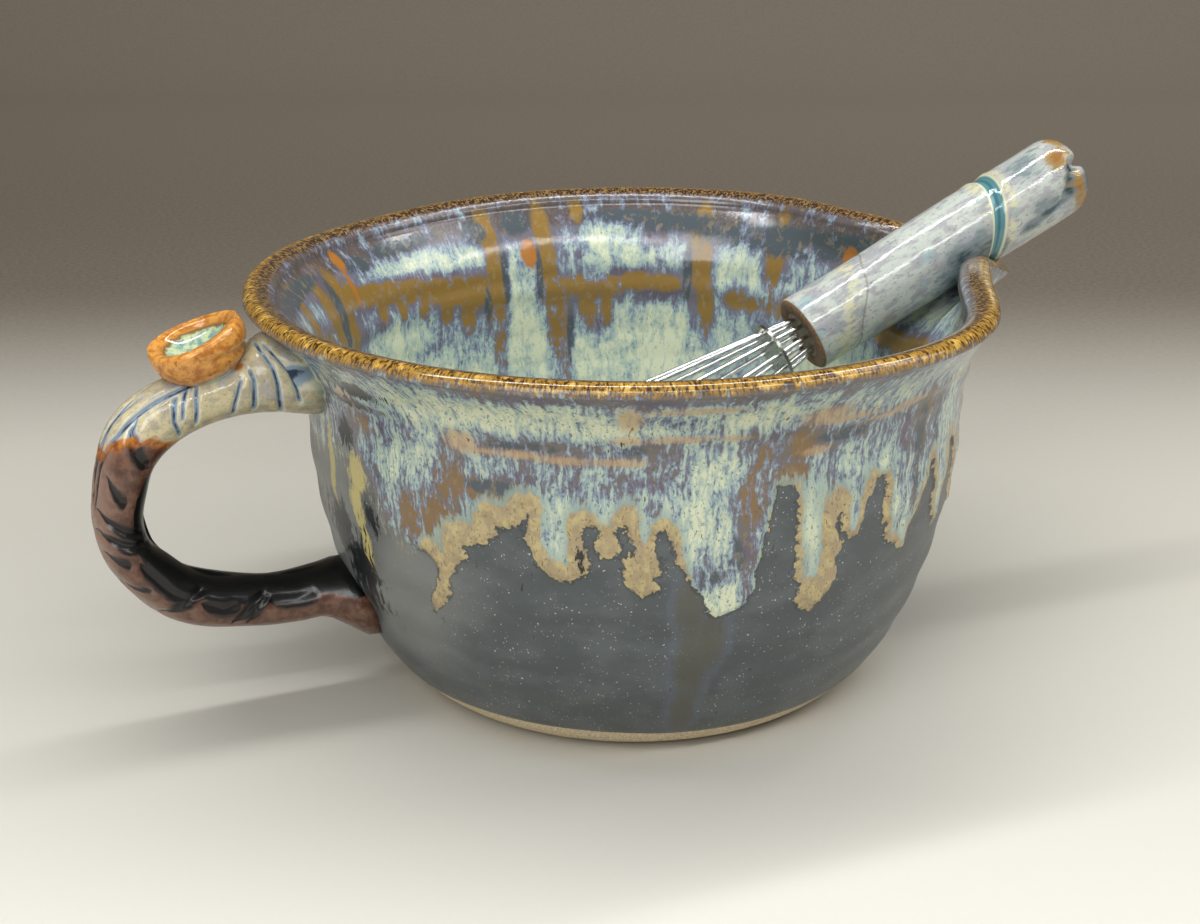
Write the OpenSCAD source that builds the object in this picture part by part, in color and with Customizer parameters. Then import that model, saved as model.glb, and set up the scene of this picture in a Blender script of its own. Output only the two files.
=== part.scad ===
// Stoneware batter bowl with a pulled spout and a strap handle, and the small
// whisk with a matching stoneware handle that rests in it.
// Millimetres. Origin at the centre of the foot, +Z up, +X out through the spout.

/* [Bowl] */
// Diameter across the rim
rim_d = 216; // [208:1:232]
// Height from the table to the top of the rim
bowl_h = 116; // [111:1:124]
// How far the rim stands out past the belly
flare_out = 15.8; // [14:0.2:18]
// Height of the flare, from the belly to the top of the rim
flare_h = 36; // [32:1:41]
// Diameter where the wall leaves the foot
foot_d = 125; // [112:1:134]
// Height of the bevel trimmed round the foot
foot_bevel = 1.5; // [1:0.1:2.5]
// Thickness of the thrown wall
wall_t = 5.5; // [4.5:0.1:7]
// Thickness of the floor
floor_t = 8; // [6:0.5:11]
// Diameter of the flat of the floor inside
floor_d = 100; // [84:1:110]
// Radius of the outer edge of the lip
lip_r = 3; // [2.4:0.1:3.6]
// Width of the lip from outside to inside
lip_w = 9; // [8:0.1:11]
// Depth over which the lip rounds into the inner wall
lip_fall = 4; // [3:0.1:5]

/* [Spout] */
// How far the lip is pulled out past the rim
spout_reach = 17.5; // [12:0.5:20]
// How far the pulled lip dips below the rim
spout_drop = 11.2; // [8:0.2:14]
// Half width of the pulled lip along the rim
spout_half_w = 15; // [13:0.5:19]
// Half width of the dip along the rim
dip_half_w = 17; // [15:0.5:21]
// Height over which the wall swings out to the spout, up to the rim
spout_h = 42; // [34:1:50]
// How far the rim is pinched in on the spout's right hand side, as it pours
right_pinch_depth = 8.5; // [4:0.5:10]
// Distance along the rim from the spout to the right hand pinch
right_pinch_offset = 56; // [52:1:62]
// Half width of the right hand pinch along the rim
right_pinch_half_w = 38; // [32:1:42]
// How far the rim is pinched in on the spout's left hand side
left_pinch_depth = 6; // [3:0.5:8]
// Distance along the rim from the spout to the left hand pinch
left_pinch_offset = 40; // [36:1:46]
// Half width of the left hand pinch along the rim
left_pinch_half_w = 25; // [22:1:30]
// Height over which a pinch fades out below the rim
pinch_fade_h = 13; // [10:1:16]

/* [Handle] */
// Reach of the handle's middle line past the rim
handle_reach = 38.2; // [32:0.2:46]
// Height of the handle's middle line at its lower root
handle_low_z = 33; // [30:0.5:36]
// Drop from the top of the rim to the middle line at the upper root
handle_drop = 19.2; // [17:0.2:22]
// Thickness of the strap, seen from the side
strap_t = 15; // [12:0.5:17]
// Width of the strap, seen from outside
strap_w = 21; // [18:0.5:26]
// Layer of clay slip that joins one piece to the next
slip_t = 0.25; // [0.2:0.01:0.3]

/* [Thumb rest] */
// Length of the thumb rest along the handle
thumb_l = 27; // [24:0.5:29]
// Width of the thumb rest across the handle
thumb_w = 25; // [22:0.5:30]
// Height of the thumb rest's outside
thumb_h = 13; // [12:0.5:14.5]
// Depth of its hollow
thumb_hollow = 5; // [3:0.2:6]
// Thickness of its rolled edge
thumb_edge = 4; // [3:0.2:5]
// Gap between the thumb rest and the rim
thumb_gap = 1.75; // [1:0.05:3]
// How far the thumb rest is pressed down on to the handle
thumb_sink = 4.1; // [3.5:0.1:5]
// Slope of its top, down away from the bowl
thumb_slope = 20; // [14:1:26]

/* [Whisk handle] */
// Length of the whisk's stoneware handle
grip_l = 101; // [90:1:112]
// Diameter of the whisk's handle
grip_d = 24.8; // [23:0.2:26]
// Rounding at the bare lower end
grip_end_round = 1.5; // [0.8:0.1:2.5]
// Rounding at the top end
grip_top_round = 7.6; // [5:0.2:9]
// Distance from the top end to the finger groove
groove_from_top = 36; // [26:1:42]
// Width of the finger groove
groove_w = 4; // [2.5:0.1:6]
// Depth of the finger groove
groove_depth = 0.8; // [0.4:0.1:1.4]
// Radius of the dimple pressed in the top end
dimple_r = 5; // [4:0.2:6]
// Depth of the dimple
dimple_depth = 2; // [1:0.1:3]
// Diameter of the bore that takes the wires
bore_d = 15; // [14.4:0.1:16]
// Lean of the whisk from the level, in degrees
whisk_lean = 25.4; // [24:0.1:27]

/* [Wires] */
// Length of the wire head, from the handle to its tip
head_l = 143; // [136:1:150]
// Diameter of the wire
wire_d = 1.5; // [1.2:0.05:1.7]
// Angle at which each wire leaves the whisk's axis, in degrees
wire_angle = 8.5; // [7.8:0.1:9]
// Diameter of the wires' circle at the spreader disc
wire_circle_d = 14; // [13:0.1:14.6]
// Distance from the handle's end to the spreader disc
disc_from_end = 10; // [8:0.5:13]
// Diameter of the spreader disc
disc_d = 19; // [18:0.2:21]
// Thickness of the spreader disc
disc_t = 1; // [0.8:0.1:1.5]
// Clearance round a wire in the disc and between crossing wires
wire_clear = 0.12; // [0.1:0.01:0.15]
// Clearance of the plug in its bore and of the wires in the plug
plug_clear = 0.05; // [0.04:0.01:0.06]
// Length of the epoxy plug
plug_l = 16; // [14:0.5:20]
// Length of wire set in the plug
wire_set_l = 12; // [10:0.5:13]
// How far the plug sits back from the handle's end
plug_set_back = 0.5; // [0.3:0.1:1]
// Gap under the whisk where it rests in the spout and on the floor
rest_gap = 0.4; // [0.35:0.05:0.6]

/* [Hidden] */

rim_r = rim_d / 2;
belly_r = rim_r - flare_out;
belly_z = bowl_h - flare_h;
spout_root_z = bowl_h - spout_h;
foot_r = foot_d / 2;
floor_r = floor_d / 2;
grip_r = grip_d / 2;
wire_r = wire_d / 2;
lip_z = bowl_h - lip_r;
lip_in_z = bowl_h - lip_fall;

// How full the wall stands below the belly, and how late it flares above it
belly_fullness = 0.67;
flare_power = 3;
inner_flare_power = 2.6;
// The spout gathers pace towards the rim and is wider at its root
spout_fade_power = 1.4;
spout_root_widening = 3;

// Heights of the wall's rings, as shares of the wall from foot to lip
outer_shares = [0, 0.02, 0.06, 0.11, 0.18, 0.27, 0.37, 0.48, 0.59, 0.69, 0.76, 0.82,
    0.87, 0.92, 0.96, 1];
inner_shares = [0.96, 0.92, 0.87, 0.81, 0.74, 0.66, 0.57, 0.47, 0.37, 0.28, 0.2, 0.13,
    0.075, 0.035, 0.01, 0];
// Directions of the rings round the lip, in degrees
lip_outer_turns = [30, 60, 90];
lip_inner_turns = [115, 140, 162];
// Directions of the bowl's facets, in degrees from the spout: finer at the spout
spout_side = 60;
fine_step = 2.5;
coarse_step = 5;
turns = concat([for (a = [-spout_side:fine_step:spout_side - fine_step]) a],
    [for (a = [spout_side:coarse_step:360 - spout_side - coarse_step]) a]);

function smooth(t) = let (c = max(0, min(1, t))) c * c * (3 - 2 * c);
function bell(x, half_w) = exp(-pow(x / half_w, 2));
function lerp(a, b, t) = a + (b - a) * t;

// Radius of the outer wall at height z
function outer_r(z) = z < belly_z
    ? foot_r + (belly_r - foot_r) * pow(1 - pow((belly_z - z) / belly_z, 2), belly_fullness)
    : belly_r + (rim_r - belly_r) * pow((z - belly_z) / (lip_z - belly_z), flare_power);

// Radius of the inner wall at height z
function inner_r(z) = let (wall_r = belly_r - wall_t) z < belly_z
    ? floor_r + (wall_r - floor_r)
        * sqrt(max(0, 1 - pow((belly_z - z) / (belly_z - floor_t), 2)))
    : wall_r + (rim_r - lip_w - wall_r)
        * pow((z - belly_z) / (lip_in_z - belly_z), inner_flare_power);

// The section from the foot, up the outside, over the lip and down to the floor
outside_section = [for (s = outer_shares)
    let (z = lerp(foot_bevel, lip_z, s)) [outer_r(z), z]];
lip_section = concat(
    [for (a = lip_outer_turns) [rim_r - lip_r + lip_r * cos(a), lip_z + lip_r * sin(a)]],
    [for (a = lip_inner_turns) [rim_r - lip_r + (lip_w - lip_r) * cos(a),
        lip_in_z + lip_fall * sin(a)]],
    [[rim_r - lip_w, lip_in_z]]);
inside_section = [for (s = inner_shares)
    let (z = lerp(floor_t, lip_in_z, s)) [inner_r(z), z]];
bowl_section = concat([[foot_r - foot_bevel, 0]], outside_section, lip_section,
    inside_section);

// A point of the section turned to one direction and drawn out to the spout
function arc_of(turn) = rim_r * PI * turn / 180;
function spout_fade(z) = pow(smooth((z - spout_root_z) / (bowl_h - spout_root_z)),
    spout_fade_power);
function pinch_fade(z) = smooth((z - bowl_h + pinch_fade_h) / (pinch_fade_h - lip_r));
function drawn(p, turn) = let (
        side = turn > 180 ? turn - 360 : turn,
        s = arc_of(side),
        fade = spout_fade(p.y),
        lip_half_w = spout_half_w * (1 + spout_root_widening * (1 - fade)),
        pinch = right_pinch_depth * bell(s + right_pinch_offset, right_pinch_half_w)
            + left_pinch_depth * bell(s - left_pinch_offset, left_pinch_half_w),
        out = spout_reach * fade * bell(s, lip_half_w) - pinch * pinch_fade(p.y),
        down = spout_drop * fade * bell(s, dip_half_w),
        r = p.x + out)
    [r * cos(turn), r * sin(turn), p.y - down];

// A closed skin over rings of points, with a middle point at each end
function skin_faces(rings, n) = concat(
    [for (k = [0:rings - 2]) for (i = [0:n - 1]) let (j = (i + 1) % n)
        [k * n + i, (k + 1) * n + j, k * n + j]],
    [for (k = [0:rings - 2]) for (i = [0:n - 1]) let (j = (i + 1) % n)
        [k * n + i, (k + 1) * n + i, (k + 1) * n + j]],
    [for (i = [0:n - 1]) [rings * n, i, (i + 1) % n]],
    [for (i = [0:n - 1]) let (last = (rings - 1) * n)
        [rings * n + 1, last + (i + 1) % n, last + i]]);

// The strap: shares of reach and rise, turn of the section, shares of thickness and width
strap_shares = [
    [0.13, 1.00, 26, 1.72, 1.22],
    [0.25, 1.00, 18, 1.40, 1.14],
    [0.38, 0.98, 14, 1.14, 1.05],
    [0.55, 0.95, 20, 1.05, 1.01],
    [0.73, 0.90, 34, 1.12, 1.00],
    [0.87, 0.815, 50, 1.12, 1.00],
    [0.955, 0.70, 67, 1.03, 0.99],
    [0.99, 0.57, 80, 0.95, 0.98],
    [1.00, 0.44, 93, 0.92, 0.97],
    [0.97, 0.31, 110, 0.94, 0.97],
    [0.88, 0.20, 131, 0.98, 0.97],
    [0.75, 0.105, 148, 1.01, 0.97],
    [0.57, 0.036, 162, 1.01, 0.95],
    [0.37, 0.005, 173, 0.99, 0.93],
    [0.17, 0.00, 181, 0.95, 0.92],
    [0.02, 0.00, 184, 0.98, 1.05],
    [-0.12, -0.05, 199, 1.55, 1.45]];
strap_reach = rim_r + handle_reach - belly_r;
strap_rise = bowl_h - handle_drop - handle_low_z;
strap_sides = 20;
strap_steps = 2;
// Sizes of the rings that close the strap's two ends on the wall
root_ring_shares = [1 / 3, 2 / 3];

// A smooth curve through the stations of the strap
function curve(a, b, c, d, t) = 0.5 * (2 * b + (c - a) * t + (2 * a - 5 * b + 4 * c - d) * t * t
    + (3 * b - a - 3 * c + d) * t * t * t);
function station(k) = strap_shares[max(0, min(len(strap_shares) - 1, k))];
stations = concat([for (k = [0:len(strap_shares) - 2]) for (m = [0:strap_steps - 1])
        curve(station(k - 1), station(k), station(k + 1), station(k + 2), m / strap_steps)],
    [station(len(strap_shares) - 1)]);

// One ring of the strap, seen along the handle; extra is added to its thickness all round
function strap_point(s, turn, size, extra) = let (
        thick = (s[3] * strap_t / 2 + extra) * size,
        wide = (s[4] * strap_w / 2 + extra) * size)
    [-(belly_r + s[0] * strap_reach) - sin(s[2]) * thick * cos(turn),
        wide * sin(turn),
        handle_low_z + s[1] * strap_rise + cos(s[2]) * thick * cos(turn)];
// The same point laid on the wall, a layer of slip away
function on_wall(p) = [-sqrt(pow(outer_r(p.z) + slip_t, 2) - pow(p.y, 2)), p.y, p.z];
function strap_ring(s, size, extra) = [for (i = [0:strap_sides - 1])
    strap_point(s, 360 * i / strap_sides, size, extra)];
function root_ring(s, size, extra) = [for (p = strap_ring(s, size, extra)) on_wall(p)];

module strap(extra) {
    last = len(stations) - 1;
    rings = concat(
        [for (size = root_ring_shares) root_ring(stations[0], size, extra)],
        [root_ring(stations[0], 1, extra)],
        [for (k = [1:last - 1]) strap_ring(stations[k], 1, extra)],
        [root_ring(stations[last], 1, extra)],
        [for (k = [len(root_ring_shares) - 1:-1:0]) root_ring(stations[last], root_ring_shares[k], extra)]);
    ends = [on_wall(strap_point(stations[0], 0, 0, extra)),
        on_wall(strap_point(stations[last], 0, 0, extra))];
    polyhedron(concat([for (ring = rings) for (p = ring) p], ends),
        skin_faces(len(rings), strap_sides));
}

// The thumb rest's section: shares of its half length, then of its height or hollow
thumb_out_shares = [[0.42, 1.0], [0.66, 0.81], [0.84, 0.62], [0.95, 0.42], [1.0, 0.23],
    [0.96, 0.07]];
thumb_in_shares = [[1.0, 0.06], [0.88, 0.35], [0.66, 0.72], [0.36, 0.95]];
thumb_sides = 28;
// The thumb rest stands beside the rim, pressed on the strap where it is this share of its rise
thumb_rise_share = 0.95;
thumb_x = rim_r + thumb_gap + thumb_l / 2 * cos(thumb_slope);
thumb_z = handle_low_z + strap_rise * thumb_rise_share + strap_t / 2 + thumb_h - thumb_sink;

module thumb_cup() {
    section = concat(
        [for (s = thumb_out_shares) [s[0], -s[1] * thumb_h]],
        [[(thumb_l - thumb_edge) / thumb_l, 0]],
        [for (s = thumb_in_shares) [s[0] * (1 - 2 * thumb_edge / thumb_l), -s[1] * thumb_hollow]]);
    points = concat(
        [for (p = section) for (i = [0:thumb_sides - 1]) let (a = 360 * i / thumb_sides)
            [p.x * thumb_l / 2 * cos(a), p.x * thumb_w / 2 * sin(a), p.y]],
        [[0, 0, -thumb_h], [0, 0, -thumb_hollow]]);
    translate([-thumb_x, 0, thumb_z]) rotate([0, -thumb_slope, 0])
        polyhedron(points, skin_faces(len(section), thumb_sides));
}

// Where the whisk rests: its lower side just clears the lip of the spout
clear_r = grip_r + rest_gap;
spout_turns = [for (a = turns) if (abs(a) <= spout_side / 3) a];
spout_section = [for (p = bowl_section) if (p.y > spout_root_z) p];
axis_z = max([for (k = [0:len(spout_turns) - 2]) for (p = spout_section) for (t = [0, 0.5])
    let (q = lerp(drawn(p, spout_turns[k]), drawn(p, spout_turns[k + 1]), t))
        if (abs(q.y) < clear_r)
            q.z - q.x * tan(whisk_lean) + sqrt(pow(clear_r, 2) - pow(q.y, 2)) / cos(whisk_lean)]);
function axis_point(x) = [x, x * tan(whisk_lean) + axis_z];

// The loops: straight legs that touch a round tip, each loop inside the last
loop_count = 5;
loop_step = wire_d + wire_clear;
function tip_l(k) = head_l - k * loop_step - wire_r;
function leg_r(l) = wire_circle_d / 2 + (l - disc_from_end) * tan(wire_angle);
function round_l(k) = (tip_l(k) - leg_r(0) * cos(wire_angle)) / (1 + sin(wire_angle));
function round_r(k) = tip_l(k) - round_l(k);

// How far down its axis the whisk slides before its round tip meets the wall or floor
floor_line = [for (k = [0:len(inside_section) - 2]) for (t = [0, 0.25, 0.5, 0.75])
    lerp(inside_section[k], inside_section[k + 1], t)];
tip_space = round_r(0) + wire_r + rest_gap;
function tip_clear(x) = let (c = axis_point(x))
    min(concat([c.y - floor_t], [for (p = floor_line) norm([c.x + p.x, c.y - p.y])])) - tip_space;
function seated(far, near, steps) = steps == 0 ? near : let (mid = (far + near) / 2)
    tip_clear(mid) > 0 ? seated(far, mid, steps - 1) : seated(mid, near, steps - 1);
halvings = 24;
tip_x = seated(-belly_r, 0, halvings);
grip_end = axis_point(tip_x + round_l(0) * cos(whisk_lean));

module on_whisk() {
    translate([grip_end.x, 0, grip_end.y]) rotate([0, 90 - whisk_lean, 0]) children();
}

module bowl() color("slategray") {
    points = concat([for (p = bowl_section) for (a = turns) drawn(p, a)],
        [[0, 0, 0], [0, 0, floor_t]]);
    polyhedron(points, skin_faces(len(bowl_section), len(turns)));
}

module handle() color("saddlebrown") strap(0);

module thumb_rest() color("chocolate") difference() {
    thumb_cup();
    strap(slip_t);
}

module whisk_handle() color("lightsteelblue") {
    groove_z = grip_l - groove_from_top;
    bore_r = bore_d / 2;
    bore_l = plug_set_back + plug_l + plug_clear;
    round_steps = [0, 15, 30, 45, 60, 75, 90];
    dimple_mid = grip_l - dimple_depth + dimple_r;
    on_whisk() difference() {
        rotate_extrude($fn = 72) polygon(concat(
            [[0, bore_l], [bore_r, bore_l], [bore_r, 0]],
            [for (a = round_steps) [grip_r - grip_end_round * (1 - sin(a)),
                grip_end_round * (1 - cos(a))]],
            [[grip_r, groove_z - groove_w / 2], [grip_r - groove_depth, groove_z - groove_w / 6],
                [grip_r - groove_depth, groove_z + groove_w / 6],
                [grip_r, groove_z + groove_w / 2]],
            [for (a = round_steps) [grip_r - grip_top_round * (1 - cos(a)),
                grip_l - grip_top_round * (1 - sin(a))]],
            [[0, grip_l]]));
        translate([0, 0, dimple_mid]) sphere(r = dimple_r, $fn = 48);
    }
}

module epoxy_plug() color("darkkhaki") on_whisk() difference() {
    translate([0, 0, plug_set_back])
        cylinder(r = bore_d / 2 - plug_clear, h = plug_l, $fn = 60);
    wire_holes(wire_r + plug_clear, -wire_d, wire_set_l + plug_clear);
}

// Holes along the wires' lines between two heights on the whisk's axis
module wire_holes(r, low, high) {
    for (k = [0:2 * loop_count - 1]) rotate([0, 0, 180 * k / loop_count])
        translate([leg_r(-low), 0, low]) rotate([0, -wire_angle, 0])
            cylinder(r = r, h = (high - low) / cos(wire_angle), $fn = 24);
}

module spreader_disc() color("gray") on_whisk() difference() {
    translate([0, 0, -disc_from_end - disc_t / 2]) cylinder(d = disc_d, h = disc_t, $fn = 60);
    wire_holes(wire_r + wire_clear, -disc_from_end - disc_t - wire_d,
        -disc_from_end + disc_t + wire_d);
}

// One loop: a round arc with a straight leg from each of its ends into the plug. Each leg is
// thinner than the arc by a hair and starts inside it, so that the two are one wire.
leg_share = 0.96;
tie_l_share = 0.6;
module wire_leg(tip_r, leg_l)
    translate([tip_r, wire_r * tie_l_share, 0]) rotate([90, 0, 0])
        cylinder(r = wire_r * leg_share, h = wire_r * tie_l_share + leg_l, $fn = 24);
module wire_loop(k) color("silver") {
    tip_r = round_r(k);
    leg_l = (round_l(k) - tip_r * sin(wire_angle) + wire_set_l) / cos(wire_angle);
    on_whisk() rotate([0, 0, 180 * k / loop_count]) translate([0, 0, -round_l(k)])
        rotate([90, 0, 0]) {
            rotate([0, 0, 180 - wire_angle]) {
                rotate_extrude(angle = 180 + 2 * wire_angle, $fn = 120)
                    translate([tip_r, 0]) circle(r = wire_r, $fn = 24);
                wire_leg(tip_r, leg_l);
            }
            rotate([0, 0, wire_angle]) rotate([180, 0, 0]) wire_leg(tip_r, leg_l);
        }
}
module wire_loop_1() wire_loop(0);
module wire_loop_2() wire_loop(1);
module wire_loop_3() wire_loop(2);
module wire_loop_4() wire_loop(3);
module wire_loop_5() wire_loop(4);

bowl();
handle();
thumb_rest();
whisk_handle();
epoxy_plug();
spreader_disc();
wire_loop_1();
wire_loop_2();
wire_loop_3();
wire_loop_4();
wire_loop_5();
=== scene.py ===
"""Looks of a stoneware batter bowl with its whisk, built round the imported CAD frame.

Lengths in the making functions are millimetres; every mesh is put in metres as it is finished.
Azimuth runs round the bowl in degrees: 0 at the spout, 180 at the handle, negative on the right
hand side of somebody who pours.
"""
import math
import bpy
import numpy as np
from bpy.props import FloatProperty, FloatVectorProperty, PointerProperty
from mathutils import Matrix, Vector


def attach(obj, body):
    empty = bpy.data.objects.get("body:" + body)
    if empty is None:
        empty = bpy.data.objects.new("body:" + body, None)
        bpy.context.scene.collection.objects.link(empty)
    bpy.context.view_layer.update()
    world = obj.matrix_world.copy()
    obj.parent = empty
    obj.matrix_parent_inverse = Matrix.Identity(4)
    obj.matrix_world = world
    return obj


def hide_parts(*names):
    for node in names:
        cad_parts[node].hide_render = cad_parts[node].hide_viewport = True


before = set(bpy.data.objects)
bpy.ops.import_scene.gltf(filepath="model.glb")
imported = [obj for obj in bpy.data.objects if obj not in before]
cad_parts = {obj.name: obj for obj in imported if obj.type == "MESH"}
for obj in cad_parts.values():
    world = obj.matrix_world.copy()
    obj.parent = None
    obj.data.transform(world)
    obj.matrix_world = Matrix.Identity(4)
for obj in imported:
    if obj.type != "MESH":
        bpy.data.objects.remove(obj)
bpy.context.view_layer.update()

bl_info = {
    "name": "Batter bowl and whisk",
    "version": (1, 0, 0),
    "blender": (4, 5, 0),
    "location": "3D view > Sidebar > Batter bowl",
    "description": "Throws, glazes and lights a stoneware batter bowl with its whisk",
    "category": "Object",
}

MM = 0.001
# Points worked on at a time, so that their distance tables stay small
CHUNK = 8192


def srgb(code):
    """A linear colour with alpha from an sRGB hex code."""
    parts = [int(code[k:k + 2], 16) / 255 for k in (1, 3, 5)]
    return tuple(p / 12.92 if p <= 0.04045 else ((p + 0.055) / 1.055) ** 2.4 for p in parts) + (1,)


def smooth(t):
    t = np.clip(t, 0, 1)
    return t * t * (3 - 2 * t)


def bell(x, half_width):
    return np.exp(-(x / half_width) ** 2)


# The bowl's real measures, mm
RIM_R, BOWL_H = 108.0, 116.0
BELLY_R, BELLY_Z = 92.2, 80.0
FOOT_R, FOOT_BEVEL = 62.5, 1.5
FLOOR_R, FLOOR_Z, WALL_T = 50.0, 8.0, 5.5
LIP_R, LIP_W, LIP_FALL = 3.0, 9.0, 4.0
LIP_Z, LIP_IN_Z = BOWL_H - LIP_R, BOWL_H - LIP_FALL
FOOT_RINGS = (0, 20, 40, 54, FOOT_R - FOOT_BEVEL)
FLOOR_RINGS = (42, 34, 26, 18, 10, 0)
MM_PER_DEGREE = BELLY_R * math.pi / 180
# The spout is pulled out and down, and fingers pinch the rim on both sides of it:
# place along the rim, half width, depth
SPOUT_OUT, SPOUT_DOWN = 17.5, 11.2
PINCHES = ((-56, 38, 8.5), (40, 25, 6))
# Where the glaze ends over the trimmed foot, and how far the bare clay lies under it
CLAY_Z, BARE_STEP = 8.0, 0.35
# Throwing rings: how far apart they are outside and inside, and how deep the inner ones are
RING_MM, INNER_RING_MM, INNER_RING = 12.5, 9.5, 0.25
# Distance from the glaze's edge that stands for all of the inside
FAR_INSIDE = 60.0
# The usual depth of the handle's grooves, by which the carved depths are scaled
GROOVE_DEPTH = 1.1
GLAZE_IOR = 1.5


def outer_r(z):
    low = FOOT_R + (BELLY_R - FOOT_R) * (1 - np.clip((BELLY_Z - z) / BELLY_Z, 0, 1) ** 2) ** 0.67
    high = BELLY_R + (RIM_R - BELLY_R) * np.clip((z - BELLY_Z) / (LIP_Z - BELLY_Z), 0, 1) ** 3
    return np.where(z < BELLY_Z, low, high)


def inner_r(z):
    wall = BELLY_R - WALL_T
    low = FLOOR_R + (wall - FLOOR_R) * np.sqrt(
        np.clip(1 - ((BELLY_Z - z) / (BELLY_Z - FLOOR_Z)) ** 2, 0, 1))
    rise = np.clip((z - BELLY_Z) / (LIP_IN_Z - BELLY_Z), 0, 1)
    return np.where(z < BELLY_Z, low, wall + (RIM_R - LIP_W - wall) * rise ** 2.6)


def bowl_section():
    """(radius, height) from the middle of the foot, out, up, over the lip and down to the floor."""
    foot = [(r, 0.0) for r in FOOT_RINGS]
    up = np.linspace(FOOT_BEVEL, LIP_Z, 106)
    out = np.stack([outer_r(up), up], 1)
    a = np.radians(np.arange(9, 91, 9.0))
    lip_out = np.stack([RIM_R - LIP_R + LIP_R * np.cos(a), LIP_Z + LIP_R * np.sin(a)], 1)
    a = np.radians(np.arange(98, 180, 8.0))
    lip_in = np.stack([RIM_R - LIP_R + (LIP_W - LIP_R) * np.cos(a),
                       LIP_IN_Z + LIP_FALL * np.sin(a)], 1)
    down = np.linspace(LIP_IN_Z, BELLY_Z, 24)
    flare = np.stack([inner_r(down), down], 1)
    a = np.radians(np.linspace(0, 90, 36))[1:]
    cup = np.stack([FLOOR_R + (BELLY_R - WALL_T - FLOOR_R) * np.cos(a),
                    BELLY_Z - (BELLY_Z - FLOOR_Z) * np.sin(a)], 1)
    floor = [(r, FLOOR_Z) for r in FLOOR_RINGS]
    return np.concatenate([foot, out, lip_out, lip_in, flare, cup, floor])


def wrapped(a):
    return (a + 180) % 360 - 180


def draw_out(r, azimuth, z):
    """Moves wall points as the spout was pulled and the rim pinched in beside it."""
    s = RIM_R * np.radians(wrapped(azimuth))
    fade = smooth((z - 74) / 42) ** 1.4
    half = 15 * (1 + 3 * (1 - fade))
    pinch = sum(deep * bell(s - at, wide) for at, wide, deep in PINCHES)
    out = SPOUT_OUT * fade * bell(s, half) - pinch * smooth((z - 103) / 10)
    return r + out, z - SPOUT_DOWN * fade * bell(s, 17)


# The edge where the run glaze stops, from the left of the handle round by the front:
# (azimuth, height), given drip by drip
FRONT_EDGE = [
    (-180, 78), (-172, 80), (-165, 82), (-160, 74), (-156, 66), (-151, 62), (-147.5, 61),
    (-146, 58), (-145.5, 55.3), (-146.9, 50.9), (-148.4, 46.6), (-148.6, 42.7), (-147.4, 43.6),
    (-144.5, 48.3), (-143.4, 52.3), (-143.7, 55.5), (-141.9, 58.8), (-139.7, 63), (-140.8, 66.3),
    (-139, 66), (-136.1, 67.8), (-134.1, 69.9), (-134.2, 72.9), (-132.2, 72), (-130.9, 73.4),
    (-129.7, 75.8), (-129, 77.5), (-128.7, 75.7), (-129.8, 71.2), (-128.6, 67.1), (-127.4, 63.4),
    (-125.9, 60.9), (-123.4, 59.3), (-120.4, 61.7), (-119.1, 64.9), (-120.3, 69.7), (-120.7, 74.7),
    (-119.3, 75.4), (-117.8, 74.7), (-118.4, 72), (-118.6, 69.3), (-117.3, 66.4), (-115.7, 67.3),
    (-114.8, 69.5), (-115.3, 73), (-115.4, 75.9), (-114.2, 75.4), (-113.3, 71.9), (-112.3, 69.2),
    (-113.3, 67.6), (-114.2, 66.5), (-114.5, 63.7), (-114.2, 61.2), (-113, 57.5), (-111.3, 55.8),
    (-109.1, 57.5), (-108.8, 59.1), (-110.1, 61.5), (-108.4, 62), (-108.1, 63.4), (-108.9, 66.4),
    (-109.6, 69.5), (-109.7, 72.2), (-109, 73.7), (-108.1, 74.2), (-107.2, 71.5), (-106.8, 68.5),
    (-106.3, 65.4), (-104.7, 61.7), (-103.7, 58.4), (-101.8, 55.3), (-101.2, 51.7), (-99.8, 48.7),
    (-97.7, 49.5), (-95.1, 51.7), (-93.5, 56.3), (-93.5, 61.4), (-92.3, 70.3), (-91.5, 75.7),
    (-91, 80.1), (-90.9, 83.2), (-89.7, 83.7), (-87.8, 82.7), (-87.3, 79.2), (-86.8, 73.7),
    (-87.1, 69.2), (-86.7, 64.6), (-86.2, 61.9), (-86.7, 57.5), (-85.3, 54.4), (-86.1, 50.8),
    (-84.4, 47.1), (-82.4, 45.7), (-80.7, 48.4), (-79.2, 51.1), (-78.1, 55.1), (-78.7, 60.3),
    (-77.3, 63.4), (-78.8, 66.3), (-79.8, 68.6), (-79.2, 72), (-78, 75.1), (-78.2, 72.2),
    (-78.4, 68.4), (-76.6, 65.1), (-74.7, 65.2), (-73.9, 69.1), (-73.2, 73.7), (-72.1, 75.5),
    (-71.2, 79.2), (-69.8, 79.6), (-68.5, 75.8), (-69.5, 69.3), (-68.9, 66), (-67.4, 65),
    (-67.9, 60.6), (-63.4, 56.2), (-61.6, 55.3), (-60.8, 60.1), (-58.4, 63.8), (-57.3, 69.3),
    (-55.5, 72.6), (-54.6, 77.8)]
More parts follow.
